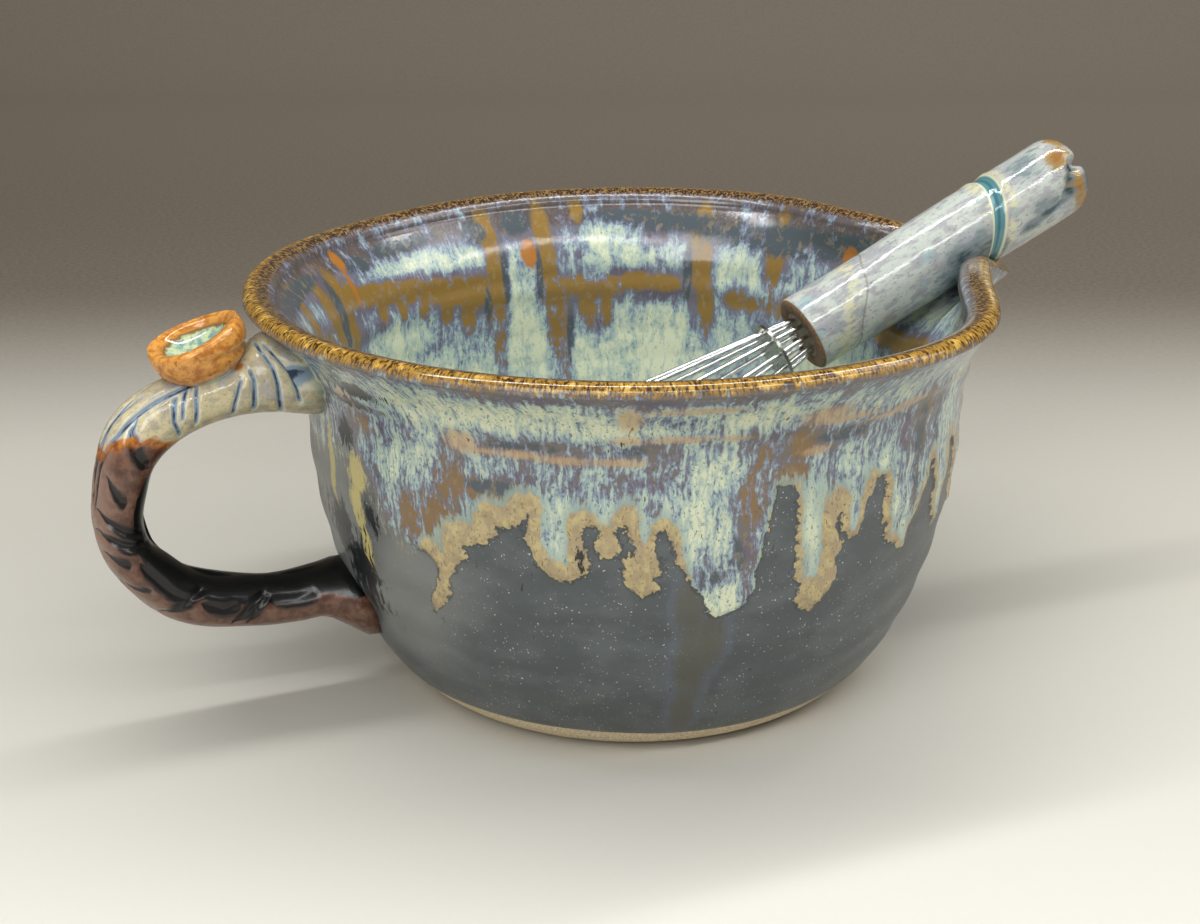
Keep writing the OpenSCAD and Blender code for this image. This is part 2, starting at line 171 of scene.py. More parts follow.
# Under the spout and on the far side the edge goes on the same way
SPOUT_EDGE = [
    (-53.2, 70), (-52, 60), (-50, 55), (-47.8, 58), (-46.6, 68), (-45, 79), (-43, 77), (-41.5, 66),
    (-39, 56), (-36.5, 54), (-34.6, 60), (-33.2, 72), (-31, 80), (-28.6, 76), (-27, 63), (-24, 50),
    (-21, 47), (-18.6, 52), (-17.6, 64), (-15.4, 76), (-13, 72), (-11, 62), (-8, 58), (-5.4, 63),
    (-4, 74), (-1.6, 82), (1.2, 80), (3, 68), (4.2, 52), (7, 44), (10.2, 46), (12, 57), (13.2, 70),
    (15.6, 77), (18.6, 74), (20, 66), (22.4, 62), (24.4, 68)]
FAR_EDGE = [
    (119, 70), (120.6, 58), (123, 51), (126, 50), (128.4, 57), (129.4, 68), (131.6, 75), (134, 71),
    (136, 63), (138.6, 60), (141, 64), (142.6, 74), (146, 83), (153, 82), (160, 80), (168, 82),
    (174, 79), (180, 78)]


def glaze_edge():
    """The whole closed edge; the far wall carries the front's drips the other way round."""
    front = np.array(FRONT_EDGE, float)
    drips = front[front[:, 0] > -147.4][::-1]
    mirrored = np.stack([-32 - drips[:, 0], 46 + (drips[:, 1] - 45.7) * 0.92
                         + 3 * np.sin(drips[:, 0] / 9)], 1)
    mirrored = mirrored[(mirrored[:, 0] > 25.5) & (mirrored[:, 0] < 118)]
    return np.concatenate([front, SPOUT_EDGE, mirrored, FAR_EDGE])


def distance_inside(azimuth, z, edge):
    """Signed distance in mm from the glaze edge, above it positive."""
    laps = np.concatenate([edge[-12:-1] - (360, 0), edge, edge[1:12] + (360, 0)])
    p = laps * (MM_PER_DEGREE, 1)
    a, b = p[:-1], p[1:]
    d = b - a
    result = np.empty(len(z))
    for k in range(0, len(z), CHUNK):
        part = slice(k, k + CHUNK)
        q = np.stack([azimuth[part] * MM_PER_DEGREE, z[part]], 1)[:, None]
        t = np.clip(((q - a) * d).sum(-1) / (d * d).sum(-1), 0, 1)
        far = np.linalg.norm(q - (a + d * t[..., None]), axis=-1).min(1)
        x, y = q[..., 0], q[..., 1]
        crosses = (a[:, 0] <= x) != (b[:, 0] <= x)
        at = a[:, 1] + (x - a[:, 0]) * d[:, 1] / np.where(d[:, 0] == 0, 1e-9, d[:, 0])
        above = (crosses & (at < y)).sum(1) % 2 == 1
        result[part] = np.where(above, far, -far)
    return result


# How far above its edge the run glaze has turned to plain cream, mm at some azimuths
CREAM_DEPTH = [
    (-180, -3), (-150, -3), (-148, 4), (-143, 6), (-136, 6.5), (-130, 5), (-125, 6.4), (-119, 5),
    (-116, 6), (-112, 7), (-109, 4), (-106, 3), (-103, -1), (-98, -2), (-94, -1.6), (-91, 0),
    (-88, 0.6), (-86, 3), (-82, 7), (-78, 5), (-74, 4), (-69, 3), (-64, 4), (-58, 1.5), (-50, 4),
    (-40, 3), (-28, 2), (-20, 6), (-8, 4), (6, 7), (20, 3), (32, 5), (48, 7), (60, 2), (75, 6),
    (90, 5), (105, 8), (118, 5), (126, 6), (140, 4), (146, 0), (180, 0)]

# Patches of colour, listed one by one: azimuth, height, half width in degrees, half height in mm
OUTSIDE = {
    "ash": [
        (-152, 52, 9, 13), (-156, 40, 9, 14), (-174, 60, 8, 20), (150, 55, 12, 16)],
    "olive": [
        (-103.8, 52, 2.4, 9), (-103, 34, 2.8, 14), (-100.2, 42, 2.6, 9), (-103.4, 18, 2.2, 10),
        (-31, 60, 3, 12), (58, 48, 3, 18), (133, 40, 4, 18)],
    "rust": [
        (-94.8, 81.7, 1.8, 7), (-93.2, 90.8, 0.9, 3.6), (-88, 86, 3, 2.6), (-87.2, 94.3, 1.7, 4),
        (-148, 71, 7, 7), (-142, 84, 2.6, 6), (-160, 91.4, 2.4, 2), (-60, 92, 1.6, 8),
        (-137, 82, 4, 2.6), (-37, 84, 2, 7), (-12, 82, 3, 5), (30, 88, 4, 5), (57, 84, 2.4, 8),
        (96, 86, 3, 7), (148, 80, 9, 6), (124, 90, 3, 5)],
    "tan": [
        (-113.6, 98.5, 2.6, 0.8), (-106.4, 98.8, 5.7, 0.9), (-97.6, 98.4, 3, 0.7),
        (-135.8, 92.8, 3.2, 0.9), (-129.7, 92.9, 3.4, 1.1), (-122.9, 92.3, 4, 1.2),
        (-115, 92.3, 4.2, 1), (-113.2, 105, 1.8, 3.4), (-139.6, 94.5, 2.4, 3),
        (-104, 107.6, 7, 0.9), (-83.8, 101.4, 4.2, 2.6), (-80, 99.4, 6, 0.8),
        (-84.6, 91.6, 2.6, 1.2), (-66, 98.5, 5, 0.9), (-163, 98, 2.2, 3), (-71.5, 97, 5, 0.8),
        (-45, 98.6, 8, 0.9), (-20, 98.6, 9, 0.9), (15, 98.6, 12, 0.9), (45, 98.6, 9, 0.9),
        (80, 92.4, 12, 1), (110, 98.6, 10, 0.9), (140, 92.4, 8, 1)],
    "pale": [
        (-99.6, 52, 3, 4), (-146, 98, 6, 9), (-150, 88, 3, 6), (-136, 104, 5, 3),
        (-141, 103, 4, 4), (-155, 96, 4, 6), (-100.8, 89.6, 3.8, 5.6), (-153.3, 83.2, 2, 5.4),
        (-148, 89.2, 3, 2.8), (-122.6, 106, 5.6, 2.6), (-129, 101.4, 8, 2), (-116, 101.5, 7, 1.6),
        (-96, 104.5, 5, 3), (-106.8, 82, 1.6, 4), (-103.6, 76, 2.6, 5), (-99, 71, 1.4, 4),
        (-50, 90, 3, 8), (-28, 96, 5, 5), (8, 92, 4, 9), (38, 100, 6, 5), (70, 92, 5, 7),
        (100, 100, 6, 5), (130, 84, 4, 5)],
    "slate": [
        (-126.5, 95.3, 2.6, 1), (-113.4, 95.6, 2.2, 1), (-106.1, 103.9, 3.6, 1.2),
        (-80.2, 94.8, 4, 1.4), (-132, 95, 3, 1), (-60.5, 84, 1.2, 12), (-54, 86, 1.3, 12),
        (-97.6, 66, 1.6, 5), (-101, 60, 1.6, 3), (-134.6, 83, 3.6, 1.6), (-20, 92, 6, 2),
        (24, 95.6, 6, 1.6), (60, 95.6, 8, 1.6), (105, 95.4, 7, 1.6)],
    "mauve": [
        (-99.8, 79.2, 1.1, 4), (-95.5, 67.9, 1.5, 3), (-107.8, 84.9, 1.9, 2.8),
        (-121.9, 84.5, 1.9, 2), (-112, 86, 2.2, 2), (-130, 84.5, 2.4, 3), (-125, 110.6, 6, 1.2),
        (-108, 110.6, 6, 1.2), (-155, 94, 1.2, 6), (-150, 96, 1, 6), (-65, 90, 1, 7),
        (-92, 100, 1, 4), (-40, 74, 1.4, 5), (44, 80, 2, 5), (88, 78, 2, 4), (116, 86, 2, 5)],
    "teal": [
        (-124.8, 74, 1.9, 6.5), (-117, 78, 1.2, 6), (-111.2, 73.5, 0.9, 5), (-85, 72, 1, 9),
        (-83.6, 66, 1, 8), (-76.4, 73, 0.9, 6), (-70, 84, 1, 4), (-99, 56, 1.8, 4),
        (-66, 72, 0.8, 7), (-62.6, 70, 0.8, 10), (-49.8, 68, 1.2, 7), (-21, 62, 1.6, 8),
        (7, 62, 1.6, 10), (41, 70, 1.6, 8), (79, 66, 1.6, 7), (125.6, 66, 1.6, 8)],
    "honey": [
        (-163.6, 76, 2.4, 6), (-164.4, 66, 2, 7), (-163.3, 54.5, 1.3, 7), (-172.6, 74, 1.1, 12),
        (165, 76, 2.4, 7), (166, 62, 1.6, 10)],
    "black": [
        (-120.7, 67, 0.7, 3.8), (-159.8, 97, 5.2, 1.5), (-166, 86.5, 2.6, 4),
        (-158, 101.6, 4.8, 2.2), (-160.6, 65.2, 1.7, 4), (-172.5, 56, 4.6, 8), (160, 98, 5, 2),
        (172, 55, 5, 8), (-168, 45, 4.5, 12)],
}
INSIDE = {
    "ochre": [
        (141, 99, 2.4, 8), (137, 99, 3, 3.4), (131, 97, 4, 3.2), (125, 95.5, 4, 3.2),
        (119, 94, 4, 3.2), (113, 92, 4, 3.4), (107, 90.5, 3.6, 3.8), (102, 89, 3, 4.4),
        (110, 85, 1.4, 4), (116, 87, 1.4, 3.4), (104.5, 82, 1.5, 6), (122, 90, 1.2, 4),
        (128, 91, 1.2, 3.6), (97.3, 106, 1.5, 6), (97.2, 96, 1.6, 8), (97.4, 84, 2, 7),
        (97.2, 70, 1.5, 8), (85.6, 106, 1.5, 6), (85.2, 96, 1.6, 8), (84.2, 84, 2.4, 7),
        (83.4, 72, 2.2, 8), (82.4, 60, 1.3, 7), (79, 88, 3, 3), (76.6, 82, 1.8, 8), (72, 87, 3, 3),
        (72.6, 80, 1.2, 6), (66, 88.5, 3.5, 2.6), (60, 88, 3, 2.4), (52.8, 104, 1.6, 7),
        (52, 94, 1.8, 8), (50.8, 82, 1.5, 10), (78, 110, 0.9, 2.6), (144, 84, 2, 12),
        (139.6, 82, 1.6, 12), (147, 96, 1.8, 10), (42, 84, 4, 3), (36, 98, 1.6, 12),
        (32, 84, 6, 3.4), (22, 86, 6, 3.4), (12, 86, 5, 3.4), (2, 84, 6, 3.4), (-8, 85, 6, 3.4),
        (-24, 98, 1.6, 12), (-18, 86, 6, 3.4), (-30, 84, 6, 3.4), (-42, 83, 6, 3.6),
        (-54, 84, 6, 3.4), (-60, 97, 1.6, 12), (-66, 83, 6, 3.6), (-78, 82, 6, 3.6),
        (-90, 84, 6, 3.4), (-96, 98, 1.6, 12), (-102, 85, 6, 3.4), (-114, 84, 6, 3.6),
        (-126, 83, 6, 3.4), (-132, 97, 1.6, 12), (-138, 84, 6, 3.4), (-150, 85, 6, 3.6),
        (-162, 86, 6, 3.4), (-174, 86, 6, 3.4), (174, 87, 6, 3.4), (163, 88, 6, 3.6),
        (153, 90, 5, 3.6), (158, 100, 1.6, 10)],
    "orange": [
        (134.6, 109, 1.3, 3.2), (135, 100, 0.7, 6), (89.2, 99, 1.7, 4.4), (20, 102, 1.6, 4),
        (-50, 101, 1.6, 4)],
    "pale": [
        (119, 101, 7, 2.6), (109, 99, 6, 2.8), (102, 100, 3, 3), (127, 103, 4, 2.4),
        (118, 80, 6, 5), (126, 82, 4, 6), (108, 74, 4, 5), (90, 76, 3.2, 14), (90.4, 88, 1.6, 6),
        (76, 95.5, 5, 3.5), (73, 99.5, 3, 4), (68, 96, 3, 3), (76, 64, 7, 8), (68, 70, 7, 9),
        (60, 64, 7, 10), (62, 78, 4, 4), (45, 94, 4, 5), (38, 88, 4, 5), (113, 66, 6, 4),
        (122, 66, 4, 5), (130, 74, 3, 6), (148, 84, 3, 9), (107, 62, 5, 5), (0, 98, 7, 4),
        (-32, 96, 8, 4), (-70, 97, 8, 4), (-106, 97, 8, 4), (-150, 97, 8, 4), (20, 66, 10, 10),
        (-10, 66, 10, 10), (-40, 64, 10, 10), (-72, 66, 10, 9), (-105, 64, 10, 10),
        (-140, 66, 10, 9), (175, 66, 9, 9), (150, 64, 8, 9)],
    "teal": [
        (119, 103.6, 8, 2), (93.6, 84, 1.2, 12), (87.6, 70, 1, 12), (125, 78, 2, 5),
        (76, 90, 4, 2), (70, 105, 4, 2), (58, 100, 3, 5), (98.6, 74, 1, 8)],
    "mauve": [
        (112, 75, 4, 4), (104, 68, 4, 4), (118, 99, 6, 1.2), (110, 96.5, 5, 1.2), (78, 97, 3, 2),
        (70, 92, 5, 1.6), (124, 104, 5, 2), (62, 103, 4, 2.4), (145, 104, 3, 6), (60, 84, 5, 2),
        (74, 73, 2, 3), (131, 86, 5, 1.6)],
    "slate": [
        (118, 108, 7, 2), (100, 107, 2, 2.6), (91, 108, 2.4, 3), (87.4, 92, 0.7, 9),
        (94.8, 93, 0.7, 9), (68, 108, 7, 2), (55, 92, 0.8, 8), (130, 106, 3, 2.4),
        (80.6, 70, 0.7, 9), (99.6, 84, 0.7, 5), (142.6, 96, 1.2, 10), (34, 104, 16, 4),
        (60, 107, 8, 2.4), (0, 108, 30, 2), (-80, 108, 40, 2), (160, 108, 14, 2)],
}
# Patches that the glaze shows as a colour; the pale ones only make it thicker
LAYERS = ("ash", "olive", "rust", "ochre", "tan", "teal", "slate", "mauve", "honey", "orange",
          "black")

# Where the run glaze lies thick or thin by height: (heights), (amounts)
OUTER_LAY = ((60, 78, 86, 91, 94.5, 96.5, 99, 102, 107, 109.5, 111.5),
             (0.1, 0.08, 0.06, 0.0, -0.08, -0.04, 0.08, 0.14, 0.12, 0.0, -0.2))
INNER_LAY = ((8, 50, 66, 80, 90, 97, 101, 105, 111),
             (0.14, 0.18, 0.16, 0.04, 0.0, 0.06, 0.04, -0.06, -0.14))
# How much a patch in the middle adds to that
LAY_SHARES = (("pale", 0.3), ("teal", 0.24), ("rust", -0.36), ("mauve", -0.22), ("slate", -0.3),
              ("ochre", -0.5))
# Ridges left by the rib under the rim: height, half width, how far they stand out
RIDGES = ((98.6, 1.3, 0.45), (92.5, 1.2, 0.35), (107.4, 1.4, 0.25))
# The rim dips towards the handle and the far side: azimuth, half width, depth
RIM_DIPS = ((175, 35, 0.6), (122, 24, 1.5))


def patches(azimuth, z, spots):
    """Soft spots that melt into each other: 1 in the middle, 0.6 at the stated half width."""
    mask = np.zeros(len(z))
    for a, h, half_a, half_h in spots:
        off = (wrapped(azimuth - a) / half_a) ** 2 + ((z - h) / half_h) ** 2
        mask = np.maximum(mask, np.exp(-off / 2))
    return mask


# Making meshes and materials
def deselect_all():
    if bpy.context.object and bpy.context.object.mode != "OBJECT":
        bpy.ops.object.mode_set(mode="OBJECT")
    bpy.ops.object.select_all(action="DESELECT")


def face_outwards():
    """Turns every face of the mesh in edit mode outwards, and leaves that mode."""
    bpy.ops.mesh.select_all(action="SELECT")
    bpy.ops.mesh.normals_make_consistent(inside=False)
    bpy.ops.object.mode_set(mode="OBJECT")


def throw(name, section, steps):
    """A closed body turned round Z from a section of (radius, height) in mm."""
    deselect_all()
    bpy.ops.mesh.primitive_plane_add(size=MM)
    piece = bpy.context.object
    piece.name = piece.data.name = name
    bpy.ops.object.mode_set(mode="EDIT")
    bpy.ops.mesh.select_mode(type="VERT")
    bpy.ops.mesh.merge(type="CENTER")
    points = [Vector((r * MM, 0, z * MM)) for r, z in section]
    bpy.ops.transform.translate(value=points[0])
    for a, b in zip(points, points[1:]):
        bpy.ops.mesh.extrude_region_move(TRANSFORM_OT_translate={"value": b - a})
    bpy.ops.mesh.select_all(action="SELECT")
    bpy.ops.mesh.spin(steps=steps, angle=2 * math.pi, center=(0, 0, 0), axis=(0, 0, 1))
    bpy.ops.mesh.select_all(action="SELECT")
    bpy.ops.mesh.remove_doubles(threshold=MM * 0.002)
    face_outwards()
    bpy.ops.object.shade_smooth()
    return piece


def points_of(piece):
    """A thrown piece's points: turn in radians, then radius and height in mm."""
    co = np.empty(len(piece.data.vertices) * 3)
    piece.data.vertices.foreach_get("co", co)
    x, y, z = co.reshape(-1, 3).T / MM
    return np.arctan2(y, x), np.hypot(x, y), z


def round_z(radius, turn, height):
    """Places at this radius, turn in radians and height."""
    return np.stack([radius * np.cos(turn), radius * np.sin(turn), height], 1)


def shape(piece, co):
    """Puts the piece's points at these places, in mm."""
    piece.data.vertices.foreach_set("co", (co * MM).ravel())
    piece.data.update()


def keep(piece, **values):
    """Stores a number or a vector for each point, for the material to read."""
    for name, value in values.items():
        kind, slot = ("FLOAT", "value") if value.ndim == 1 else ("FLOAT_VECTOR", "vector")
        layer = piece.data.attributes.new(name, kind, "POINT")
        layer.data.foreach_set(slot, value.astype(np.float32).ravel())


def section_index(radius, z, section):
    """For each point the nearest point of the section it was thrown from."""
    index = np.empty(len(z), int)
    for k in range(0, len(z), CHUNK):
        part = slice(k, k + CHUNK)
        off = (radius[part, None] - section[:, 0]) ** 2 + (z[part, None] - section[:, 1]) ** 2
        index[part] = off.argmin(1)
    return index


def add(material, kind, links=None, out=0, **settings):
    """Adds a node with its settings and links, and gives its output."""
    node = material.node_tree.nodes.new("ShaderNode" + kind)
    for name, value in settings.items():
        setattr(node, name, value)
    for name, value in (links or {}).items():
        if isinstance(value, bpy.types.NodeSocket):
            material.node_tree.links.new(value, node.inputs[name])
        else:
            node.inputs[name].default_value = value
    return node.outputs[out] if node.outputs else None


def new_material(name):
    material = bpy.data.materials.new(name)
    material.use_nodes = True
    material.node_tree.nodes.clear()
    return material


def new_glaze(name, *masks):
    """A material, the masks that its piece stores for it, and the run of the glaze."""
    material = new_material(name)
    read = {mask: add(material, "Attribute", out=2, attribute_name=mask) for mask in masks}
    return material, read, add(material, "Attribute", out=1, attribute_name="flow")


def surface(material, colour, roughness, **sockets):
    """Ends a material in one shader."""
    links = {name.replace("_", " "): value for name, value in sockets.items()}
    links.update({"Base Color": colour, "Roughness": roughness})
    add(material, "OutputMaterial", {"Surface": add(material, "BsdfPrincipled", links)})
    return material


def pattern(material, vector, across, along, detail=4.0, roughness=0.55):
    """A cloudy pattern that is this many mm across and along the run of the glaze."""
    place = add(material, "VectorMath", {0: vector, 1: (1 / across, 1 / across, 1 / along)},
                operation="MULTIPLY")
    return add(material, "TexNoise", {"Vector": place, "Scale": 1.0, "Detail": detail,
                                      "Roughness": roughness})


def weighted(material, start, *terms):
    """The start plus each value times its weight."""
    total = start
    for value, weight in terms:
        total = add(material, "Math", {0: value, 1: weight, 2: total}, operation="MULTIPLY_ADD")
    return total


def paint(material, colour, *coats):
    """Lays coats over a colour: each its colour, an amount, the low and the high where it passes
    from none to all, and how strong all is, if not 1."""
    for over, amount, low, high, *strength in coats:
        share = add(material, "MapRange", {"Value": amount, "From Min": low, "From Max": high,
                                           "To Max": strength[0] if strength else 1.0},
                    interpolation_type="SMOOTHSTEP")
        under, over = (srgb(c) if isinstance(c, str) else c for c in (colour, over))
        colour = add(material, "Mix", {0: share, 6: under, 7: over}, out=2, data_type="RGBA")
    return colour


def within(material, value, *ramps, share=1.0):
    """The share where a value is past every ramp: from its first number, none, to its second."""
    for start, end in ramps:
        ramp = add(material, "MapRange", {"Value": value, "From Min": start, "From Max": end})
        share = weighted(material, 0.0, (share, ramp))
    return share


def run_threads(material, flow):
    """Patterns of a fluid glaze, in mm: fine threads, broad tongues, mottles and pinholes."""
    swirl = add(material, "TexNoise", {"Vector": flow, "Scale": 1 / 7, "Detail": 2.0}, out=1)
    flow = add(material, "VectorMath", {0: swirl, 1: (3.2, 3.2, 3.2), 2: flow},
               operation="MULTIPLY_ADD")
    return (pattern(material, flow, 0.9, 7.5, 5.0, 0.6), pattern(material, flow, 4.2, 22.0, 3.0),
            pattern(material, flow, 2.4, 3.4, 5.0, 0.6), pattern(material, flow, 0.7, 1.1, 2.0))


def bowl_glaze(colours):
    """Stoneware under a slate base glaze and a fluid variegated glaze that has run over it."""
    m, read, flow = new_glaze("run_glaze_on_stoneware", *LAYERS, "edge", "cream", "soft", "inner",
                              "lay", "lip", "clay", "dusk")
    thread, tongue, mottle, pin = run_threads(m, flow)
    crumb = pattern(m, flow, 1.7, 1.7, 4.0, 0.6)
    # The threads show less on the inside
    long_thread = weighted(m, 0.0, (weighted(m, -0.5, (thread, 1.0)),
                                    weighted(m, 1.5, (read["inner"], -0.9))))
    rag = weighted(m, -1.15, (long_thread, 1.0), (tongue, 0.9), (mottle, 1.0), (pin, 0.4))
    # Under it the thin glaze is brown, mauve or navy, in patches with frayed borders
    dusk = paint(m, "#454B54", ("#544A42", read["inner"], 0.3, 0.7))
    under = paint(
        m, "#6C6560", ("#6B6870", read["inner"], 0.3, 0.7),
        *((tone, weighted(m, read[name], (rag, 0.5)), 0.3, 0.6) for name, tone in (
            ("dusk", dusk), ("mauve", "#645B66"), ("rust", "#7D6442"), ("ochre", "#866A34"),
            ("slate", "#4A5358"))),
        ("#93805E", mottle, 0.52, 0.66, 0.5))
    # The run glaze by its thickness: bare where thin, then lavender, blue and cream green, with
    # pinholes
    lay = weighted(m, 0.5, (rag, 1.0), (read["lay"], 1.0))
    field = paint(m, under, ("#6E7187", lay, 0.28, 0.44, 0.8), ("#7F919E", lay, 0.40, 0.55, 0.85),
                  ("#9CAFAC", lay, 0.50, 0.66, 0.9), ("#B4C1AD", lay, 0.62, 0.80, 0.9),
                  ("#CED3B6", lay, 0.78, 1.0, 0.95),
                  ("#4A555C", weighted(m, pin, (read["inner"], 0.05)), 0.40, 0.32, 0.7))
    # The slate base glaze is semi-matte, with a few white specks, and brown under the broad border
    # beside the handle
    band = pattern(m, flow, 40.0, 3.0, 3.0)
    fleck = pattern(m, flow, 0.6, 0.6, 1.0)
    haze = pattern(m, flow, 16.0, 9.0, 3.0)
    streak = weighted(m, read["olive"], (rag, 0.3))
    border = weighted(m, 0.6, (read["edge"], 0.05), (rag, 0.6))
    base = paint(m, colours.slate, ("#565C5E", haze, 0.42, 0.66),
                 ("#D6D6CE", weighted(m, -0.05, (fleck, 1.0), (haze, 0.12)), 0.735, 0.755, 0.9),
                 ("#7A7C79", read["ash"], 0.1, 0.9, 0.8), ("#5A6370", streak, 0.2, 0.42, 0.5),
                 ("#524F40", streak, 0.35, 0.9, 0.75),
                 ("#857A69", weighted(m, 0.0, (border, read["soft"])), 0.25, 0.75, 0.9))
    # Where the run glaze lies: a crisp crumbled edge at the drips, a broad one beside the handle
    crisp = weighted(m, 1.0, (read["soft"], -1.0))
    frayed = weighted(m, 0.0, (rag, read["soft"]))
    edge = weighted(m, read["edge"], (weighted(m, -3.4, (crumb, 4.4), (mottle, 2.4)), crisp),
                    (frayed, 11.0))
    low, high = (weighted(m, side * 0.18, (read["soft"], side * 3.5)) for side in (-1, 1))
    covered = add(m, "MapRange", {"Value": edge, "From Min": low, "From Max": high},
                  interpolation_type="SMOOTHSTEP")
    covered = add(m, "Math", {0: covered, 1: read["inner"]}, operation="MAXIMUM")
    colour = add(m, "Mix", {0: covered, 6: base, 7: field}, out=2, data_type="RGBA")
    # Cream drips: the run glaze at its lowest edge, opaque and specked, with a pale blue fringe
    # and a thin dark outline on the slate
    ribbon = weighted(m, read["cream"], (rag, 4.0), (read["teal"], -4.5))
    drip = within(m, ribbon, (-0.5, 0.6), share=covered)
    fringe = within(m, ribbon, (-3.0, -0.7), share=covered)
    outside = weighted(m, 1.0, (read["inner"], -1.0))
    line = within(m, edge, (-0.8, -0.15), (0.35, 0.0), share=weighted(m, 0.0, (crisp, outside)))
    cream = paint(m, colours.cream, ("#B9A97A", mottle, 0.40, 0.66),
                  ("#A0875F", crumb, 0.5, 0.36, 0.4), ("#6C5F49", pin, 0.41, 0.34, 0.6))
    colour = paint(
        m, colour, ("#B99A70", weighted(m, read["tan"], (rag, 0.6)), 0.25, 0.95, 0.75),
        ("#96A99F", weighted(m, -0.3, (fringe, 1.0), (thread, 0.6)), 0.1, 0.9, 0.7),
        (cream, drip, 0.2, 0.8), ("#23292C", line, 0.1, 0.9, 0.55),
        *((tone, weighted(m, read[name], (rag, fray)), 0.46, 0.70, 0.97) for name, tone, fray in (
            ("honey", "#B8AC70", 0.6), ("orange", "#A46A2A", 0.5), ("black", "#14181C", 1.3))))
    # The lip: thin glaze breaks to specked amber outside and to dark brown on top
    comb = weighted(m, 0.0, (pattern(m, flow, 0.55, 1.8, 4.0, 0.65), 0.7), (crumb, 0.3))
    specks = weighted(m, 0.0, (comb, 0.6), (mottle, 0.6))
    amber = paint(m, "#3B2410", (colours.amber, comb, 0.42, 0.54),
                  ("#D6B05C", specks, 0.62, 0.74, 0.8))
    top = paint(m, "#33251F", ("#866A40", weighted(m, 0.0, (comb, 0.5), (pin, 0.5)), 0.47, 0.57))
    lip = paint(m, amber, (top, weighted(m, read["lip"], (comb, 1.0)), 1.45, 1.75))
    on_lip = within(m, weighted(m, read["lip"], (comb, 0.8)), (0.75, 1.0), (2.35, 2.0))
    colour = add(m, "Mix", {0: on_lip, 6: colour, 7: lip}, out=2, data_type="RGBA")
    # Bare clay on the foot, under the glaze's rolled edge; the thin dark line along that edge is
    # painted shadow, where the glaze stands proud of the clay
    clay = paint(m, "#C0AB88", (colours.clay, pattern(m, flow, 0.8, 0.8, 4.0, 0.7), 0.35, 0.65))
    colour = paint(m, colour, ("#26292A", read["clay"], 0.36, 0.42, 0.8),
                   (clay, read["clay"], 0.46, 0.5))
    # Gloss: the run glaze shines, the slate is semi-matte, the clay dull
    rough = add(m, "MapRange", {"Value": covered, "To Min": 0.34, "To Max": 0.12})
    rough = add(m, "MapRange", {"Value": read["clay"], "From Min": 0.45, "From Max": 0.5,
                                "To Min": rough, "To Max": 0.85})
    bump = weighted(m, 0.0, (weighted(m, 0.0, (thread, 0.35), (mottle, 1.0)), covered))
    bump = weighted(m, 0.0, (bump, weighted(m, 1.0, (on_lip, -0.95))))
    normal = add(m, "Bump", {"Strength": 0.5, "Distance": 0.0002,
                             "Height": weighted(m, bump, (band, 0.2))})
    return surface(m, colour, rough, Normal=normal, IOR=GLAZE_IOR)


def depth(name, description, usual, most):
    """A depth that a user may change, given in mm."""
    return FloatProperty(name=name, description=description, default=usual * MM, min=0,
                         max=most * MM, unit="LENGTH", precision=5)


def tint(name, description, code):
    """A colour that a user may change."""
    return FloatVectorProperty(name=name, description=description, subtype="COLOR", size=4,
                               default=srgb(code), min=0, max=1)


class BatterBowlSizes(bpy.types.PropertyGroup):
    """Sizes of the hand work on the thrown pieces."""
    ring_depth: depth("Throwing rings", "Depth of the throwing rings", 0.22, 0.6)
    glaze_depth: depth("Run glaze", "Thickness of the glaze that has run", 0.3, 0.8)
    drip_roll: depth("Drip edge", "Extra thickness of a drip at its edge", 0.45, 1.2)
    groove_depth: depth("Handle grooves", "Depth of the carved grooves", GROOVE_DEPTH, 2)


class BatterBowlColours(bpy.types.PropertyGroup):
    """Glaze and clay colours."""
    slate: tint("Slate base", "Semi-matte base glaze", "#494F51")
    cream: tint("Cream drips", "Run glaze at its lowest edge", "#A08F70")
    amber: tint("Amber lip", "Thin glaze on the rim", "#9C7833")
    clay: tint("Clay", "Bare fired clay", "#E8DBBC")


